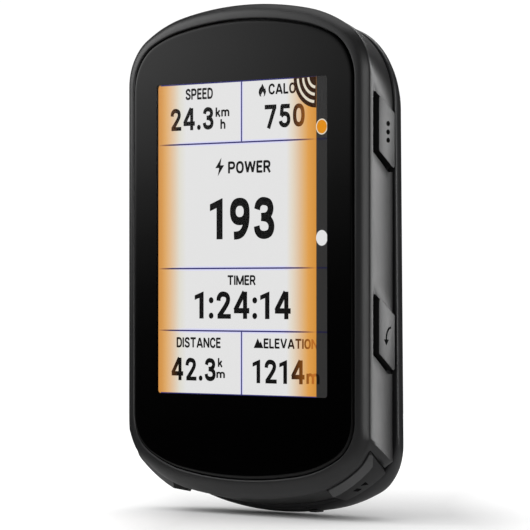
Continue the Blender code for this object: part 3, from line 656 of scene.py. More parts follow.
def turned(name, profile, centre, material, steps=64):
    """A round piece about an axis along Y through (x, z). Its profile is (radius, depth)."""
    builder = bmesh.new()
    rows = []
    for radius, depth in profile:
        if radius == 0:
            rows.append([builder.verts.new((centre[0], depth, centre[1]))])
            continue
        row = []
        for i in range(steps):
            a = 2 * pi * i / steps
            place = (centre[0] + radius * cos(a), depth, centre[1] + radius * sin(a))
            row.append(builder.verts.new(place))
        rows.append(row)
    for first, second in zip(rows, rows[1:]):
        for i in range(steps):
            j = (i + 1) % steps
            corners = [first[i % len(first)], first[j % len(first)]]
            corners += [second[j % len(second)], second[i % len(second)]]
            unique = list(dict.fromkeys(corners))
            builder.faces.new(unique)
    return finished(builder, name, material)


def stadium(half_width, half_thickness, steps=10):
    straight = half_width - half_thickness
    points = []
    for i in range(steps + 1):
        a = -pi / 2 + pi * i / steps
        points.append((straight + half_thickness * cos(a), half_thickness * sin(a)))
    return points + [(-x, -y) for x, y in points]


def upright(name, points, depth, low, high):
    """A block with an outline in (x, y about a depth), standing along Z."""
    return spanned(name, *([(x, depth + y, z) for x, y in points] for z in (low, high)))


def keep(obj, body, slot, *replaced):
    """Makes a piece ride on its body and hides the nodes it stands for. The slot is not used."""
    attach(obj, body)
    if replaced:
        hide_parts(*replaced)
    return obj


# ---- housings -------------------------------------------------------------------------------
def placed_points(points, x):
    """An outline drawn for the right-hand side, flipped where the piece faces left."""
    side = -1 if x < 0 else 1
    return [(depth, s * side) for depth, s in points]


def make_front_housing():
    bezel = [(d, *between(LIP, RIDGE_SIZE, share)) for d, share in BEZEL_PROFILE]
    outside = bezel + WALL
    housing = ring_loft("front_case", outside + WALL_INSIDE, SATIN, True, len(outside))
    for name, x, z, angle, kind_name in BUTTONS:
        kind = KINDS[kind_name]
        slot = soft_corners(placed_points(kind["slot"], x), kind["slot_radius"])
        combined(housing, prism("cut", slot, THROUGH, None, ((x, z), angle)), "DIFFERENCE")
    rounded(housing, 0.09, 2, 38, 42)
    keep(housing, "case", "satin_plastic", "front_housing")


def make_rear_housing():
    shell = ring_loft("rear_case", BACK_OUTSIDE[::-1] + BACK_INSIDE[::-1], SHELL)
    for low, high in PORT_CUTS:
        combined(shell, block("cut", low, high), "DIFFERENCE")
    mouth, low, high = PORT_MOUTH
    combined(shell, upright("cut", stadium(*mouth), PORT_DEPTH, low, high), "DIFFERENCE")
    for radius, start, height, steps in SHELL_HOLES:
        hole = [(0, start), (radius, start), (radius, 17.0), (0, 17.0)]
        combined(shell, turned("cut", hole, (0, height), None, steps), "DIFFERENCE")
    steadied(rounded(shell, 0.12, 2, 38, 42))
    keep(shell, "case", "rear_plastic", "rear_housing")
    keep(ring_loft("seam_rib", SEAM_RIB, SHELL, closed=True), "case", "rear_plastic")


# ---- glass and display ----------------------------------------------------------------------
ACTIVE = (20.045, 26.24)          # half width and half height of the lit area
STRIP = 17.19                     # where the dark strip at the right begins


def make_glass():
    half, top, bottom = GLASS_SIZE
    sections = [(inset, GLASS_FRONT + depth) for inset, depth in GLASS_EDGE]
    sections += [(0.0, GLASS_BACK - 0.1), (0.1, GLASS_BACK)]
    builder = bmesh.new()
    rings = []
    for inset, depth in sections:
        points = outline(half - inset, top - inset, bottom - inset)
        rings.append([builder.verts.new((x, depth, z)) for x, z in points])
    for first, second in zip(rings, rings[1:]):
        skin(builder, first, second)
    # Materials by number: 0 clear, 1 coated, 2 the edge, 3 printed black.
    for number, face in enumerate(builder.faces):
        face.material_index = 3 if number < INK_FRONT * len(rings[0]) else 2
    builder.faces.new(rings[-1])
    window = soft_corners(rectangle(-ACTIVE[0], ACTIVE[0], -ACTIVE[1], ACTIVE[1]), 0.6, 8)
    pane = [builder.verts.new((x, GLASS_FRONT, z)) for x, z in window]
    inner = [builder.verts.new((x, GLASS_FRONT, z))
             for x, z in outline(half - FLAT_BORDER, top - FLAT_BORDER, bottom - FLAT_BORDER)]
    edge_and_back = set(builder.faces)
    skin(builder, inner, rings[0])
    edges = []
    for loop in (inner, pane):
        for i in range(len(loop)):
            edge = builder.edges.get((loop[i], loop[(i + 1) % len(loop)]))
            edges.append(edge or builder.edges.new((loop[i], loop[(i + 1) % len(loop)])))
    bmesh.ops.triangle_fill(builder, edges=edges, use_beauty=True)
    for face in builder.faces:
        if face not in edge_and_back:
            face.material_index = 3
    builder.faces.new(pane).material_index = 1
    glass_pane = finished(builder, "cover_pane", CLEAR)
    for material in (COATED, EDGE_INK, PRINTED):
        glass_pane.data.materials.append(material)
    keep(glass_pane, "case", "black_glass", "cover_glass")


def flat(name, outlines, depth, material, slot="display_face"):
    """A flat sheet facing the rider, from outlines in (x, z); the later ones are holes."""
    curve = bpy.data.curves.new(name, "CURVE")
    curve.dimensions = "2D"
    curve.fill_mode = "BOTH"
    for points in outlines:
        spline = curve.splines.new("POLY")
        spline.points.add(len(points) - 1)
        for point, (x, z) in zip(spline.points, points):
            point.co = (x, z, 0, 1)
        spline.use_cyclic_u = True
    holder = linked(name + "_curve", curve)
    sheet = evaluated(holder)
    bpy.data.objects.remove(holder, do_unlink=True)
    for vertex in sheet.vertices:
        vertex.co = (vertex.co.x, depth, vertex.co.y)
    builder = bmesh.new()
    builder.from_mesh(sheet)
    bmesh.ops.remove_doubles(builder, verts=builder.verts, dist=0.0005)
    for face in builder.faces:
        face.normal_update()
        if face.normal.y > 0:
            face.normal_flip()
    mesh = bpy.data.meshes.new(name)
    builder.to_mesh(mesh)
    builder.free()
    mesh.transform(Matrix.Scale(MM, 4) @ Matrix.Translation(SHIFT))
    mesh.materials.append(material)
    return keep(linked(name, mesh), "case", slot)


def smooth(points, steps=6):
    """A smooth path through points."""
    path = []
    for i in range(len(points) - 1):
        first, start = Vector(points[max(i - 1, 0)]), Vector(points[i])
        end, last = Vector(points[i + 1]), Vector(points[min(i + 2, len(points) - 1)])
        for k in range(steps):
            t = k / steps
            spot = 2 * start + (end - first) * t
            spot += (2 * first - 5 * start + 4 * end - last) * t ** 2
            spot += (3 * start - first - 3 * end + last) * t ** 3
            path.append(tuple(spot / 2))
    return path + [tuple(points[-1])]


def oval(centre, wide, tall, steps=36):
    """A rounded outline, a little squarer than an ellipse."""
    points = []
    for i in range(steps):
        a = 2 * pi * i / steps
        across = copysign(abs(cos(a)) ** 0.86, cos(a))
        up = copysign(abs(sin(a)) ** 0.86, sin(a))
        points.append((centre[0] + wide * across, centre[1] + tall * up))
    return points


def disc(centre, radius, steps=40, start=0.0, end=2 * pi):
    angles = [start + (end - start) * i / steps for i in range(steps)]
    return [(centre[0] + radius * cos(a), centre[1] + radius * sin(a)) for a in angles]


# Figures and letters as strokes, in a cell one unit tall: (width, shapes). A bar and a bend are
# centre lines, a ring is (middle x, middle y, half width, half height) of its centre line, and
# a solid is an outline.
FIGURES = {
    "0": (0.68, [("ring", 0.34, 0.5, 0.24, 0.40)]),
    "1": (0.55, [("solid", (0.23, 0), (0.44, 0), (0.44, 1), (0.41, 1), (0, 0.86), (0, 0.69),
                  (0.23, 0.765))]),
    "2": (0.70, [("bend", (0.10, 0.66), (0.12, 0.79), (0.22, 0.89), (0.35, 0.905), (0.50, 0.86),
                  (0.565, 0.74), (0.54, 0.61), (0.44, 0.46), (0.30, 0.29), (0.13, 0.10)),
                 ("solid", (0.05, 0), (0.70, 0), (0.70, 0.175), (0.05, 0.175))]),
    "3": (0.69, [("bend", (0.10, 0.71), (0.14, 0.83), (0.24, 0.90), (0.36, 0.905), (0.50, 0.86),
                  (0.555, 0.74), (0.52, 0.62), (0.42, 0.545), (0.24, 0.525)),
                 ("bend", (0.24, 0.525), (0.42, 0.50), (0.54, 0.42), (0.585, 0.29),
                  (0.53, 0.15), (0.38, 0.095), (0.22, 0.11), (0.12, 0.19), (0.09, 0.31))]),
    "4": (0.74, [("bar", (0.535, 0), (0.535, 1)), ("bar", (0.0, 0.30), (0.74, 0.30)),
                 ("bar", (0.06, 0.31), (0.50, 0.99))]),
    "5": (0.66, [("bar", (0.13, 0.91), (0.63, 0.91)), ("bar", (0.19, 0.95), (0.15, 0.50)),
                 ("bend", (0.13, 0.49), (0.24, 0.575), (0.37, 0.585), (0.51, 0.52),
                  (0.565, 0.36), (0.53, 0.19), (0.39, 0.095), (0.22, 0.11), (0.12, 0.19),
                  (0.09, 0.28))]),
    "7": (0.68, [("bar", (0.0, 0.91), (0.68, 0.91)), ("bar", (0.60, 0.93), (0.22, -0.02))]),
    "9": (0.67, [("ring", 0.33, 0.67, 0.235, 0.235),
                 ("bend", (0.565, 0.72), (0.565, 0.52), (0.53, 0.33), (0.43, 0.17), (0.30, 0.10),
                  (0.13, 0.085))]),
    ":": (0.22, [("solid", *disc((0.11, 0.11), 0.115, 16)), ("solid", *disc((0.11, 0.68), 0.115, 16))]),
    ".": (0.23, [("solid", *disc((0.115, 0.115), 0.12, 16))]),
}
STEM = ("bar", (0.08, 0), (0.08, 1))
LETTERS = {
    "A": (0.88, [("bar", (0.07, -0.01), (0.42, 0.97)), ("bar", (0.81, -0.01), (0.46, 0.97)),
                 ("bar", (0.18, 0.28), (0.70, 0.28))]),
    "C": (0.76, [("bend", (0.68, 0.68), (0.62, 0.84), (0.50, 0.92), (0.34, 0.92), (0.18, 0.83),
                  (0.09, 0.66), (0.08, 0.50), (0.09, 0.34), (0.18, 0.17), (0.34, 0.08),
                  (0.50, 0.08), (0.62, 0.16), (0.68, 0.32))]),
    "D": (0.74, [STEM, ("bend", (0.05, 0.92), (0.32, 0.92),
                  (0.50, 0.88), (0.62, 0.74), (0.66, 0.56), (0.66, 0.44), (0.62, 0.26),
                  (0.50, 0.12), (0.32, 0.08), (0.05, 0.08))]),
    "E": (0.62, [STEM, ("bar", (0.05, 0.925), (0.62, 0.925)),
                 ("bar", (0.05, 0.52), (0.56, 0.52)), ("bar", (0.05, 0.075), (0.62, 0.075))]),
    "I": (0.16, [STEM]),
    "L": (0.60, [STEM, ("bar", (0.05, 0.075), (0.60, 0.075))]),
    "M": (1.02, [STEM, ("bar", (0.94, 0), (0.94, 1)),
                 ("bar", (0.09, 0.95), (0.51, 0.06)), ("bar", (0.93, 0.95), (0.51, 0.06))]),
    "N": (0.80, [STEM, ("bar", (0.72, 0), (0.72, 1)),
                 ("bar", (0.10, 0.94), (0.70, 0.06))]),
    "O": (0.80, [("ring", 0.40, 0.5, 0.32, 0.425)]),
    "P": (0.74, [STEM, ("bend", (0.05, 0.925), (0.42, 0.925),
                  (0.58, 0.87), (0.64, 0.75), (0.64, 0.63), (0.58, 0.50), (0.42, 0.44),
                  (0.05, 0.44))]),
    "R": (0.76, [STEM, ("bend", (0.05, 0.925), (0.40, 0.925),
                  (0.56, 0.87), (0.62, 0.76), (0.62, 0.65), (0.56, 0.52), (0.40, 0.47),
                  (0.05, 0.47)), ("bar", (0.38, 0.48), (0.68, -0.01))]),
    "S": (0.72, [("bend", (0.63, 0.72), (0.58, 0.86), (0.44, 0.925), (0.28, 0.915),
                  (0.14, 0.83), (0.12, 0.70), (0.20, 0.60), (0.38, 0.52), (0.55, 0.44),
                  (0.64, 0.32), (0.62, 0.18), (0.50, 0.09), (0.34, 0.075), (0.16, 0.13),
                  (0.08, 0.28))]),
    "T": (0.78, [("bar", (0.39, 0), (0.39, 1)), ("bar", (0, 0.925), (0.78, 0.925))]),
    "V": (0.84, [("bar", (0.07, 1.01), (0.40, 0.04)), ("bar", (0.77, 1.01), (0.44, 0.04))]),
    "W": (1.16, [("bar", (0.07, 1.01), (0.30, 0.05)), ("bar", (0.30, 0.05), (0.57, 0.96)),
                 ("bar", (0.59, 0.96), (0.86, 0.05)), ("bar", (1.09, 1.01), (0.86, 0.05))]),
    "k": (0.62, [STEM, ("bar", (0.12, 0.28), (0.52, 0.68)),
                 ("bar", (0.24, 0.44), (0.55, -0.01))]),
    "h": (0.62, [STEM, ("bend", (0.08, 0.48), (0.16, 0.60),
                  (0.30, 0.645), (0.46, 0.60), (0.54, 0.44), (0.54, 0))]),
    "m": (1.02, [("bar", (0.08, 0), (0.08, 0.72)), ("bend", (0.08, 0.48), (0.15, 0.60),
                  (0.27, 0.645), (0.42, 0.60), (0.51, 0.44), (0.51, 0)),
                 ("bend", (0.51, 0.48), (0.58, 0.60), (0.70, 0.645), (0.86, 0.60),
                  (0.94, 0.44), (0.94, 0))]),
}
FIGURE_STROKE = 0.198
LETTER_STROKE = 0.212
FIGURE_SPACE = 0.15
LETTER_SPACE = 0.13
SHEET = 0.012                     # the thickness of the shapes on the display


def slab(name, points, depth=0.0, material=None):
    """A thin closed sheet in display coordinates, with its face towards the rider at a depth."""
    ends = ([(x, y, z) for x, z in points] for y in (depth, depth + SHEET))
    return spanned(name, *ends, material, smooth=False)


def glyph(character):
    """(width, points, faces) of a character one unit tall, with its strokes joined."""
    figures = character in FIGURES
    width, shapes = (FIGURES if figures else LETTERS)[character]
    thick = FIGURE_STROKE if figures else LETTER_STROKE
    whole = None
    for kind, *values in shapes:
        if kind == "ring":
            x, z, wide, tall = values
            outer = oval((x, z), wide + thick / 2, tall + thick / 2)
            inner = oval((x, z), wide - thick / 2, tall - thick / 2)
            made = slab("ring", outer)
            hole = slab("hole", inner)
            hole.scale = (1, 3, 1)
            hole.location = (0, -2 * SHIFT.y * MM - SHEET * MM, 0)
            combined(made, hole, "DIFFERENCE")
        elif kind == "solid":
            made = slab("solid", values)
        else:
            path = smooth(values) if kind == "bend" else values
            made = slab("stroke", stroke(path, thick))
        whole = combined(whole, made, "UNION") if whole else made
    mesh = whole.data
    back = (Matrix.Scale(MM, 4) @ Matrix.Translation(SHIFT)).inverted()
    points = [back @ vertex.co for vertex in mesh.vertices]
    faces = [tuple(polygon.vertices) for polygon in mesh.polygons]
    bpy.data.objects.remove(whole, do_unlink=True)
    return width, points, faces


GLYPHS = {}


def words(name, text, fit, material, depth=WORD_DEPTH):
    """Generic figures or words, fitted to (left, right, low, high)."""
    left, right, low, high = fit
    space = FIGURE_SPACE if text[0] in FIGURES else LETTER_SPACE
    layout = []
    cursor = 0.0
    for character in text:
        if character not in GLYPHS:
            GLYPHS[character] = glyph(character)
        layout.append((cursor, GLYPHS[character]))
        cursor += GLYPHS[character][0] + space
    wide = (right - left) / (cursor - space)
    tall = (high - low) / max(p.z for _, g in layout for p in g[1])
    builder = bmesh.new()
    for start, (_, points, faces) in layout:
        verts = [
            builder.verts.new((left + (start + p.x) * wide, depth + p.y, low + p.z * tall))
            for p in points
        ]
        for face in faces:
            builder.faces.new([verts[i] for i in face])
    return keep(finished(builder, name, material, smooth=False), "case", "display_face")


def rectangle(left, right, low, high):
    return [(left, low), (right, low), (right, high), (left, high)]


def sector(centre, inner, outer, start, end, steps=24):
    """A ring sector, or a pie slice where inner is 0, with angles in degrees."""
    angles = [radians(start + (end - start) * i / steps) for i in range(steps + 1)]
    rim = [(centre[0] + outer * cos(a), centre[1] + outer * sin(a)) for a in angles]
    if inner == 0:
        return rim + [centre]
    hub = [(centre[0] + inner * cos(a), centre[1] + inner * sin(a)) for a in angles]
    return rim + hub[::-1]


def make_display():
    half, tall = ACTIVE
    back = lit_across("display_light", [
        (-half, 206, 142, 70), (-19.2, 210, 150, 80), (-18.3, 218, 166, 102),
        (-17.2, 221, 182, 138), (-16.0, 220, 198, 172), (-14.8, 219, 216, 205),
        (-13.2, 222, 222, 222), (10.4, 222, 222, 222), (11.6, 222, 212, 196),
        (12.5, 220, 200, 176), (13.5, 218, 184, 146), (14.4, 218, 172, 114),
        (15.4, 218, 155, 76), (STRIP, 206, 141, 60),
    ])
    ink = lit_across("display_ink", [
        (-half, 84, 48, 14), (-16.4, 66, 38, 14), (-15.2, 8, 6, 5), (-13.5, 9, 9, 9),
        (11.2, 9, 9, 9), (12.2, 62, 34, 12), (13.6, 106, 60, 18), (15.0, 140, 82, 26),
        (16.4, 182, 106, 38), (STRIP - 0.05, 186, 112, 44), (STRIP + 0.05, 14, 14, 14),
    ])
    fading = lit_across("display_rule_fade", [
        (-half, 206, 142, 70), (-18.6, 150, 104, 76), (-16.8, 58, 50, 90),
        (-14.5, 50, 48, 110), (11.0, 50, 48, 110), (13.2, 80, 62, 96), (15.2, 150, 104, 76),
        (STRIP - 0.1, 206, 141, 60), (STRIP + 0.1, 30, 30, 62), (half, 26, 26, 56),
    ])
    glimmer = lit_across("display_rule_glimmer", [
        (-half, 206, 142, 70), (-18.3, 218, 166, 102), (-16.6, 222, 192, 160),
        (-14.6, 216, 214, 226), (-12.0, 212, 212, 240), (9.6, 212, 212, 240),
        (12.2, 222, 206, 196), (13.8, 219, 182, 140), (15.4, 218, 155, 76),
        (STRIP, 206, 141, 60),
    ])
    dark = lit("display_strip", (48, 48, 48))
    blue = lit("display_rule", (50, 50, 112))
    halo = lit("display_rule_edge", (210, 210, 240))
    brown = lit("display_disc", (48, 26, 10))
    cream = lit("display_arcs", (222, 214, 196))
    orange = lit("display_marker", (218, 138, 22))
    white = lit("display_knob", (222, 222, 222))
    # Painted light: the passive sensor window glows faintly, standing in for the light that would show
    # it behind the glass.
    sensor = lit("sensor_window_painted_glow", (27, 27, 28), 1.0)

    corner = soft_corners(rectangle(-half, half, -tall, tall), 0.6, 8)
    mask = outline(25.5, 36.15, 40.0)
    flat("glass_mask", [mask, corner], MASK_DEPTH, MASK, slot="black_glass")
    edge = 0.1                    # how far the picture runs on under the mask
    flat("display_picture", [rectangle(-half - edge, STRIP, -tall - edge, tall + edge)],
         PICTURE_DEPTH, back)
    strip = flat("display_side_strip", [rectangle(STRIP, half + edge, -tall - edge, tall + edge)],
                 STRIP_DEPTH + 0.025, dark)
    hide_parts("display_panel")
    # This word runs on behind the strip, so a narrow piece of the strip lies over its end.
    words("word_elevation", "ELEVATION", (5.2, 17.5, -18.32, -16.66), ink, STRIP_DEPTH + 0.012)
    flat("strip_edge", [rectangle(STRIP, STRIP + 0.6, -18.5, -16.5)], STRIP_DEPTH, dark)
    rules = (16.0, -5.05, -15.55)
    for i, z in enumerate(rules):
        glow = rectangle(-half + 0.2, STRIP, z - 0.36, z + 0.36)
        flat(f"rule_edge_{i + 1}", [glow], HALO_DEPTH, glimmer)
        rule = rectangle(-half + 0.2, half, z - 0.13, z + 0.13)
        flat(f"rule_{i + 1}", [rule], RULE_DEPTH, fading)
    for i, (low, high) in enumerate(((rules[0], tall), (-tall, rules[2]))):
        flat(f"divider_edge_{i + 1}", [rectangle(-0.36, 0.36, low, high)], HALO_DEPTH, halo)
        flat(f"divider_{i + 1}", [rectangle(-0.14, 0.14, low, high)], RULE_DEPTH - 0.004, blue)
    for name, low, high in (("top_rule", tall - 0.16, tall + 0.05),
                            ("bottom_rule", -tall - 0.05, -tall + 0.14)):
        flat(name, [rectangle(-half + 0.6, STRIP, low, high)], RULE_DEPTH, blue)

    for name, text, fit in (
        ("word_speed", "SPEED", (-13.35, -6.84, 23.56, 25.42)),
        ("figure_speed", "24.3", (-17.0, -6.62, 18.37, 22.28)),
        ("unit_km", "km", (-6.1, -2.92, 20.44, 22.0)),
        ("unit_h", "h", (-4.95, -3.85, 18.36, 20.0)),
        ("word_energy", "CALOR", (6.35, 14.15, 23.72, 25.48)),
        ("figure_energy", "750", (5.42, 14.6, 18.15, 22.0)),
        ("word_power", "POWER", (-3.12, 6.8, 10.84, 12.85)),
        ("figure_power", "193", (-7.5, 7.7, -0.18, 6.76)),
        ("word_timer", "TIMER", (-3.27, 3.3, -7.84, -6.2)),
        ("figure_timer", "1:24:14", (-11.15, 11.4, -13.5, -8.75)),
        ("word_distance", "DISTANCE", (-15.5, -4.95, -18.4, -16.66)),
        ("figure_distance", "42.3", (-16.75, -6.1, -24.0, -20.0)),
        ("unit_k", "k", (-5.55, -4.5, -21.6, -20.1)),
        ("unit_m", "m", (-5.9, -3.97, -23.45, -22.4)),
        ("figure_elevation", "1214", (2.6, 14.55, -24.15, -20.05)),
        ("unit_metres", "m", (15.05, 17.85, -24.05, -22.3)),
    ):
        words(name, text, fit, ink)

    for name, points in (
        ("flame", [(4.85, 25.55), (5.25, 25.0), (5.3, 24.6), (5.5, 24.9), (5.72, 24.2),
                   (5.5, 23.6), (5.15, 23.32), (5.3, 23.75), (5.0, 24.25), (4.75, 23.95),
                   (4.55, 23.7), (4.6, 23.35), (4.2, 23.6), (4.0, 24.1), (4.15, 24.7),
                   (4.6, 25.1)]),
        ("bolt", [(-4.75, 13.55), (-6.2, 11.8), (-5.3, 11.8), (-5.6, 10.45), (-4.1, 12.25),
                  (-5.0, 12.25)]),
        ("peaks", [(2.85, -18.32), (3.8, -16.68), (4.25, -17.5), (4.5, -17.2), (5.1, -18.32)]),
    ):
        keep(slab(f"icon_{name}", points, WORD_DEPTH, ink), "case", "display_face")

    corner = (STRIP, tall)
    flat("signal_disc", [sector(corner, 0, 5.1, 180, 270)], DISC_DEPTH, brown)
    for i, radius in enumerate((1.75, 2.95, 4.15)):
        flat(f"signal_arc_{i + 1}", [sector(corner, radius - 0.23, radius + 0.23, 183, 264)],
             MARK_DEPTH, cream)
    for name, place, radius, depth, material in (
        ("marker_rim", (18.46, 17.98), 1.3, DISC_DEPTH, cream),
        ("marker_fill", (18.46, 17.98), 1.12, MARK_DEPTH, orange),
        ("marker_knob", (18.46, -0.17), 1.28, DISC_DEPTH, white),
        # The sensor window's glow is painted light.
        ("sensor_window_painted_glow", (16.96, -33.08), 0.87, DISC_DEPTH, sensor),
    ):
        flat(name, [disc(place, radius)], depth, material)


# ---- buttons --------------------------------------------------------------------------------
def wall_at(depth):
    """(half width, top, bottom) of the CAD's outer wall at a depth."""
    rows = [(-0.30, 25.95, 36.60, 40.45), (0.10, 27.15, 37.85, 42.00), (1.00, 28.20, 39.02, 43.45),
            (3.60, 28.30, 38.25, 44.10), (6.55, 28.20, 37.50, 44.70)]
    for near, far in zip(rows, rows[1:]):
        if depth <= far[0]:
            return between(near[1:], far[1:], (depth - near[0]) / (far[0] - near[0]))
    return list(rows[-1][1:])


def proud_body(extra=0.0, rows=None):
    """The body's outside, swollen by as much as the corner buttons stand proud at a depth."""
    sections = []
    for depth, offset in rows or CORNER_FACE:
        half_width, top, bottom = wall_at(depth)
        swell = offset + extra
        sections.append((depth, half_width + swell, top + swell, bottom + swell))
    return ring_loft("keep", sections, None)


def beyond_end(placing, side):
    """A large block past the plane that leans over the end of a corner button."""
    distance, reach, lean = CORNER_END
    centre, out, along = directions(placing)
    along *= side
    normal = along * cos(lean) + out * sin(lean)
    flat_way = Vector((0, 1, 0)).cross(normal)
    start = centre + Vector((0, 3.9, 0)) + along * distance + out * reach
    ends = ([start + flat_way * a + Vector((0, b, 0)) + normal * deep
             for a, b in rectangle(-FAR, FAR, -FAR, FAR)] for deep in (0.0, 12.0))
    return spanned("cut", *ends, smooth=False)


def marked(name, outlines, placing, body, reach):
    """Thin printed marks on a button's face, from outlines in (depth, along the wall).

    Without a reach, they follow the curved face of a corner button.
    """
    marks = None
    for points in outlines:
        if reach is None:
            made = prism(name, points, (-4.0, 4.0), INK, placing)
            combined(made, proud_body(MARK_PROUD, [(2.6, 1.4), (6.2, 1.4)]), "INTERSECT")
            combined(made, proud_body(-MARK_SUNK, [(2.0, 1.4), (7.0, 1.4)]), "DIFFERENCE")
        else:
            made = prism(name, points, (reach - MARK_SUNK, reach + MARK_PROUD), INK, placing)
        marks = combined(marks, made, "UNION") if marks else made
    return keep(marks, body, "black_rubber")


def stroke(points, width):
    """The outline of a line of even width through points."""
    left = []
    right = []
    for i, point in enumerate(points):
        before = Vector(points[max(i - 1, 0)])
        after = Vector(points[min(i + 1, len(points) - 1)])
        direction = (after - before).normalized()
        side = Vector((-direction.y, direction.x)) * width / 2
        left.append(tuple(Vector(point) + side))
        right.append(tuple(Vector(point) - side))
    return left + right[::-1]


def icon_outlines(name):
    """Small generic marks, in (depth, along the wall), seen with along pointing up."""
    middle = 4.5
    if name == "menu":
        return [disc((4.56, s), 0.42, 20) for s in (-0.23, -1.59, -2.93)]
    if name == "back":
        bend = [(5.25, -0.42), (4.75, -0.62), (4.35, -1.1), (4.15, -1.8), (4.12, -2.6)]
        head = [(3.55, -2.35), (4.12, -3.35), (4.75, -2.4)]
        return [stroke(bend, 0.34), head]
    if name == "power":
        ring = sector((middle, -1.6), 0.75, 1.05, 120, 420, 28)
        return [ring, rectangle(middle - 0.16, middle + 0.16, -1.6, -0.2)]
    if name in ("up", "down"):
        turn = 1 if name == "up" else -1
        tip = -1.6 + 0.5 * turn
        return [stroke([(middle - 1.0, tip - turn), (middle, tip), (middle + 1.0, tip - turn)], 0.34)]
    if name == "start":
        return [[(4.0, 1.5), (5.2, 0.85), (4.0, 0.2)], rectangle(4.0, 5.1, -1.7, -0.7)]
    return [sector((4.55, 0.4), 0.5, 0.8, 0, 270, 24), stroke([(4.1, -1.3), (5.0, -1.3)], 0.3)]


def paint_side_shade_and_facet_light(cap, placing, kind_name):
    """Paints shade on a side button's sides in its slot and a highlight on a corner button's front
    facet.
    """
    out = directions(placing)[1]
    corner = kind_name == "corner"
    cap.data.materials.append(CORNER_FACET_PAINTED_LIGHT if corner else BUTTON_SIDE_PAINTED_SHADE)
    for polygon in cap.data.polygons:
        outward = polygon.normal.dot(out)
        depth = polygon.center.y / MM - SHIFT.y
        facet = depth < FACET_END and polygon.normal.y < -0.2 and outward > 0.2
        # Index 1 holds the painted shade of the sides or the painted highlight of the facet.
        if facet if corner else outward < 0.35:
            polygon.material_index = 1


def make_button(name, x, z, angle, kind_name):
    kind = KINDS[kind_name]
    placing = ((x, z), angle)
    shape = soft_corners(placed_points(kind["outline"], x), kind["corner_radius"])
    material = BUTTON if kind_name == "side" else CORNER_BUTTON_PAINTED_SHADE
    cap = prism(f"{name}_key", shape, (kind["inner"], kind["face"]), material, placing)
    if kind_name == "corner":
        combined(cap, proud_body(), "INTERSECT")
        combined(cap, beyond_end(placing, -1 if x < 0 else 1), "DIFFERENCE")
    rounded(cap, kind["rounding"], 3, 30, 40)
    paint_side_shade_and_facet_light(cap, placing, kind_name)
    (near, far), (low, high) = kind["flange"]
    ledge = placed_points(rectangle(near, far, low, high), x)
    span = (kind["inner"] - 0.4, kind["inner"] + 0.05)
    combined(cap, prism("add", ledge, span, None, placing), "UNION")
    keep(cap, name, "button_rubber", f"{name}_button")
    outlines = [placed_points(o, x) for o in icon_outlines(name)]
    reach = kind["face"] if kind_name == "side" else None
    marked(f"{name}_mark", outlines, placing, name, reach)


# ---- port cover and mount insert --------------------------------------------------------------
def make_port_cover():
    flap = block("port_flap", *FLAP, RUBBER)
    combined(flap, ring_loft("keep", BACK_OUTSIDE, None), "INTERSECT")
    rounded(flap, 0.25, 3, 30, 40)
    plug, low, high = PLUG
    combined(flap, upright("add", stadium(*plug), PORT_DEPTH, low, high), "UNION")
    tab = rounded(block("add", *TETHER), 0.15, 2)
    combined(flap, tab, "UNION")
    flap.data.materials.clear()
    flap.data.materials.append(RUBBER)
    keep(flap, "port_cover", "black_rubber", "port_cover")


def make_insert():
    rear = MOUNT_FACE
    profile = [(0, rear), (4.0, rear), (9.8, rear), (10.08, rear - 0.06), (10.24, rear - 0.2),
               (10.3, rear - 0.42), (10.3, 16.6), (10.36, 16.42), (10.55, 16.35), (13.1, 16.35),
               (13.3, 16.27), (13.4, 16.08), (13.4, 15.7), (0, 15.7)]
    centre = (0, MOUNT_HEIGHT)
    insert = turned("mount_insert", profile, centre, INSERT, 128)
    lug = sector(centre, 9.3, 12.55, -LUG_SPREAD, LUG_SPREAD, 20)
    for side in (1, -1):
        ends = ([(x * side, depth, z) for x, z in lug] for depth in (17.55, rear - 0.25))
        combined(insert, rounded(spanned("add", *ends), 0.18, 3, 30), "UNION")
    for side in (1, -1):
        hole = [(0, 17.6), (1.9, 17.6), (1.9, 18.95), (2.15, 19.2), (2.15, 20), (0, 20)]
        place = (SCREW_PLACE * side, MOUNT_HEIGHT)
        combined(insert, turned("cut", hole, place, None, 48), "DIFFERENCE")
    insert.data.materials.clear()
    insert.data.materials.append(INSERT)
    keep(insert, "case", "rear_plastic", "quarter_turn_insert")
    head = [(0, 18.9), (1.2, 18.9), (1.42, 18.82), (1.53, 18.62), (1.55, 18.4), (1.55, 17.9),
            (0.8, 17.9), (0.8, 15.1), (0, 14.95)]
    for i, side in enumerate((1, -1)):
        x, z = SCREW_PLACE * side, MOUNT_HEIGHT
        screw = turned(f"mount_screw_{i + 1}", head, (x, z), SCREW, 48)
        for turn in (20.0, 110.0):
            c, s = cos(radians(turn)), sin(radians(turn))
            ends = ([(x + a * c - b * s, depth, z + a * s + b * c)
                     for a, b in rectangle(-0.85, 0.85, -0.19, 0.19)] for depth in (18.25, 19.5))
            combined(screw, spanned("cut", *ends, smooth=False), "DIFFERENCE")
        keep(screw, "case", "steel", f"insert_screw_{i + 1}")


# ---- carried-over nodes -----------------------------------------------------------------------
CARRIED = [
    (ADHESIVE, ["glass_adhesive"]),
    (WHITE, ["backlight_unit", "light_sensor", "battery_connector", "vent_membrane"]),
    (STEEL, ["display_frame", "board_screw_1", "board_screw_2", "board_screw_3", "board_screw_4",
             "processor_shield", "radio_shield", "pressure_sensor", "usb_receptacle"]),
    (FLEX, ["display_flex", "right_button_flex", "left_button_flex", "start_button_flex",
            "lap_button_flex"]),
    (SILICONE, ["housing_seal", "usb_gasket"]),
    (BOARD, ["main_circuit_board", "usb_board"]),
    (CERAMIC, ["gnss_antenna", "wireless_antenna"]),
    (RUBBER, ["buzzer", "battery_lead"]),
    (POUCH, ["battery_pack"]),
    (FOAM, ["battery_foam"]),
]


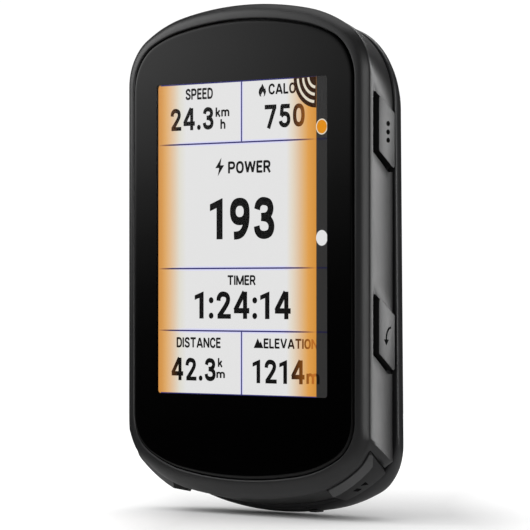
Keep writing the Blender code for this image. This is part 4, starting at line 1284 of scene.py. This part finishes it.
def dress_carried_nodes():
    rows = CARRIED + [(SILICONE, [f"{b[0]}_seal" for b in BUTTONS])]
    rows += [(STEEL, [f"{b[0]}_switch" for b in BUTTONS])]
    for material, names in rows:
        for name in names:
            for slot in NODES[name].material_slots:
                slot.material = material


# ---- stage ------------------------------------------------------------------------------------
FLOOR_HEIGHT = -46.35


def lamp(name, kind, receivers, place=(0.0, 0.0, 0.0), size=None, **settings):
    """A lamp that falls on some objects only. An area lamp faces the middle of the device."""
    data = bpy.data.lights.new(name, kind)
    if size:
        data.shape = "RECTANGLE"
        data.size, data.size_y = size
    for key, value in settings.items():
        setattr(data, key, value)
    obj = linked(name, data)
    if size:
        away = Vector((0.0, -0.01, 0.0)) - Vector(place)
        obj.location = place
        obj.rotation_euler = away.to_track_quat("-Z", "Y").to_euler()
        obj.visible_camera = False
    lit_pieces = bpy.data.collections.new(name + "_receivers")
    for piece in receivers:
        lit_pieces.objects.link(piece)
    obj.light_linking.receiver_collection = lit_pieces
    return obj


FLOOR_LIGHT = 2.95
# The strength of the light painted on the floor as a glow.
FLOOR_PAINTED_LIGHT = 0.30
# The floor's painted light, a glow that whitens it beyond the device's shadow, grows over these
# distances from the device: all around, and sideways.
PAINTED_LIGHT_AROUND = (0.05, 0.12)
PAINTED_LIGHT_BESIDE = (0.022, 0.038)
SIDEWAYS = (0.714, 0.70, 0.0)
# Painted shade: reflections see the floor darkened from here outwards.
FADE_START = 0.038                # where the floor begins to fade in reflections
FLOOR_NEAR = 0.075
FLOOR_FAR = 0.45
ROOM = 0.012                      # the brightness of the surroundings, and what is seen of them
BACKDROP = 1.05
GLASS_CARD = 1.75
# The card's brightness upward and across, as (metres from its middle, brightness)
CARD_UP = [(-0.0922, 0.006), (-0.0837, 0.018), (-0.0728, 0.04), (-0.0627, 0.075), (-0.0522, 0.17),
           (-0.0416, 0.34), (-0.033, 0.57), (-0.0243, 0.76), (-0.018, 0.93), (-0.012, 1.0)]
CARD_ACROSS = [(-0.05, 0.3), (-0.0188, 0.42), (0.0217, 1.0), (0.05, 1.3)]
LIGHTS = [
    # name, place, size, power
    ("key_box", (0.60, 0.53, 0.02), (0.20, 0.60), 5.3),
    ("front_box", (0.56, -0.62, 0.06), (0.62, 0.50), 2.8),
    ("top_box", (-0.25, -0.15, 0.85), (0.7, 0.7), 2.4),
    ("left_rim_box", (-0.72, 0.62, 0.10), (0.12, 0.7), 0.07),
    ("back_box", (-0.15, 0.75, 0.70), (0.7, 0.3), 2.5),
    ("rear_fill", (-0.42, 0.75, 0.30), (0.45, 0.6), 14.0),
]


def staged(name, builder, material):
    """An object of the stage, from a bmesh in metres."""
    mesh = bpy.data.meshes.new(name)
    builder.to_mesh(mesh)
    builder.free()
    mesh.materials.append(material)
    obj = linked(name, mesh)
    return obj


def floor_ring(name, inner, outer, material, steps=96):
    """A part of the floor between two radii."""
    builder = bmesh.new()
    low = (FLOOR_HEIGHT + SHIFT.z) * MM
    rows = [[builder.verts.new((x, y, low)) for x, y in disc((0, 0), radius, steps)]
            for radius in (inner, outer) if radius]
    if inner:
        skin(builder, rows[1], rows[0])
    else:
        builder.faces.new(rows[0])
    return staged(name, builder, material)


def floor_material():
    nodes = Nodes("floor_with_painted_light")
    apart = nodes.add("ShaderNodeVectorMath", {0: nodes.coordinates}, operation="LENGTH")
    apart = apart.outputs["Value"]
    # Painted light: the floor glows more the farther it lies from the device, so it turns white past
    # the shadow.
    around = nodes.span(apart, 0.0, FLOOR_PAINTED_LIGHT, *PAINTED_LIGHT_AROUND)
    beside = nodes.add("ShaderNodeVectorMath", {0: nodes.coordinates, 1: SIDEWAYS},
                       operation="DOT_PRODUCT")
    sideways = nodes.math("ABSOLUTE", beside.outputs["Value"])
    glow = nodes.math("MAXIMUM", around, nodes.span(sideways, 0.0, FLOOR_PAINTED_LIGHT, *PAINTED_LIGHT_BESIDE))
    pale = nodes.ramp(nodes.noise(2.0, 3.0), [(0.2, (0.92, 0.92, 0.92, 1)),
                                              (0.8, (0.94, 0.94, 0.94, 1))])
    # In reflections the floor is painted darker with distance, down to black: painted shade that only
    # glossy rays see.
    fade = nodes.span(apart, 0.0, 1.0, FADE_START, FLOOR_NEAR)
    path = nodes.add("ShaderNodeLightPath").outputs["Is Glossy Ray"]
    painted_reflection_shade = nodes.math("MULTIPLY", fade, path)
    nodes.set(Base_Color=nodes.mix(painted_reflection_shade, pale, (0.0, 0.0, 0.0, 1)),
              Roughness=0.9, Specular_IOR_Level=0.0, Emission_Color=(1, 1, 1, 1),
              Emission_Strength=nodes.math("MULTIPLY", glow, nodes.math("SUBTRACT", 1.0, painted_reflection_shade)))
    return nodes.material


def make_glass_card():
    """The soft card that the glass reflects, bright at its top and right. The camera misses it."""
    nodes = Nodes("glass_card")
    nodes.tree.nodes.remove(nodes.shader)
    place = nodes.add("ShaderNodeSeparateXYZ", {0: nodes.coordinates}).outputs
    fades = []
    for axis, stops in ((1, CARD_UP), (0, CARD_ACROSS)):
        low, high = stops[0][0], stops[-1][0]
        share = nodes.span(place[axis], 0.0, 1.0, low, high)
        fades.append(nodes.ramp(share, [((at - low) / (high - low), (bright, bright, bright, 1))
                                        for at, bright in stops]))
    glow = nodes.add("ShaderNodeEmission", {"Color": nodes.mix(1.0, *fades, "MULTIPLY"),
                                            "Strength": GLASS_CARD})
    nodes.put(nodes.tree.nodes["Material Output"].inputs["Surface"], glow.outputs[0])
    builder = bmesh.new()
    builder.faces.new([builder.verts.new((x, y, 0)) for x, y in rectangle(-0.12, 0.12, -0.1, 0.1)])
    card = staged("glass_card", builder, nodes.material)
    across, up = Vector((-0.72, 0.69, 0.0)), Vector((0, 0, 1))
    turn = Matrix((across, up, across.cross(up))).transposed().to_4x4()
    card.matrix_world = Matrix.Translation((-0.097, -0.120, 0.0575)) @ turn
    card.visible_camera = False
    card.visible_shadow = False


def make_stage():
    pieces = [o for o in bpy.context.scene.objects if o.type == "MESH" and o.name != "cover_pane"]
    material = floor_material()
    floors = [floor_ring("floor_near", 0.0, FLOOR_NEAR, material),
              floor_ring("floor_far", FLOOR_NEAR, FLOOR_FAR, material)]
    floors[1].visible_glossy = False
    floors[1].visible_diffuse = False

    world = bpy.data.worlds.new("studio")
    world.use_nodes = True
    bpy.context.scene.world = world
    tree = world.node_tree
    path = tree.nodes.new("ShaderNodeLightPath")
    seen = tree.nodes.new("ShaderNodeMix")
    seen.data_type = "RGBA"
    seen.inputs[6].default_value = (ROOM, ROOM, ROOM, 1)
    seen.inputs[7].default_value = (BACKDROP, BACKDROP, BACKDROP, 1)
    tree.links.new(path.outputs["Is Camera Ray"], seen.inputs["Factor"])
    tree.links.new(seen.outputs[2], tree.nodes["Background"].inputs["Color"])

    for name, place, size, power in LIGHTS:
        lamp(name, "AREA", pieces, place, size, energy=power).visible_glossy = name != "rear_fill"
    lamp("floor_light", "SUN", floors, angle=radians(165), energy=FLOOR_LIGHT)
    make_glass_card()


CAMERA_LENS = 230.45
CAMERA_PLACE = (398.98, -401.57, -8.52)
CAMERA_TILT = 90.406
CAMERA_TURN = 44.42


def make_camera():
    data = bpy.data.cameras.new("camera")
    data.sensor_width = 36.0
    data.lens = CAMERA_LENS
    data.clip_start = 0.01
    data.clip_end = 100
    camera = linked("camera", data)
    camera.location = (Vector(CAMERA_PLACE) + SHIFT) * MM
    camera.rotation_euler = (radians(CAMERA_TILT), 0, radians(CAMERA_TURN))
    bpy.context.scene.camera = camera


def main():
    make_camera()
    make_front_housing()
    make_rear_housing()
    make_glass()
    make_display()
    for spec in BUTTONS:
        make_button(*spec)
    make_port_cover()
    make_insert()
    dress_carried_nodes()
    make_stage()
    bpy.context.scene.view_settings.view_transform = "Standard"


main()
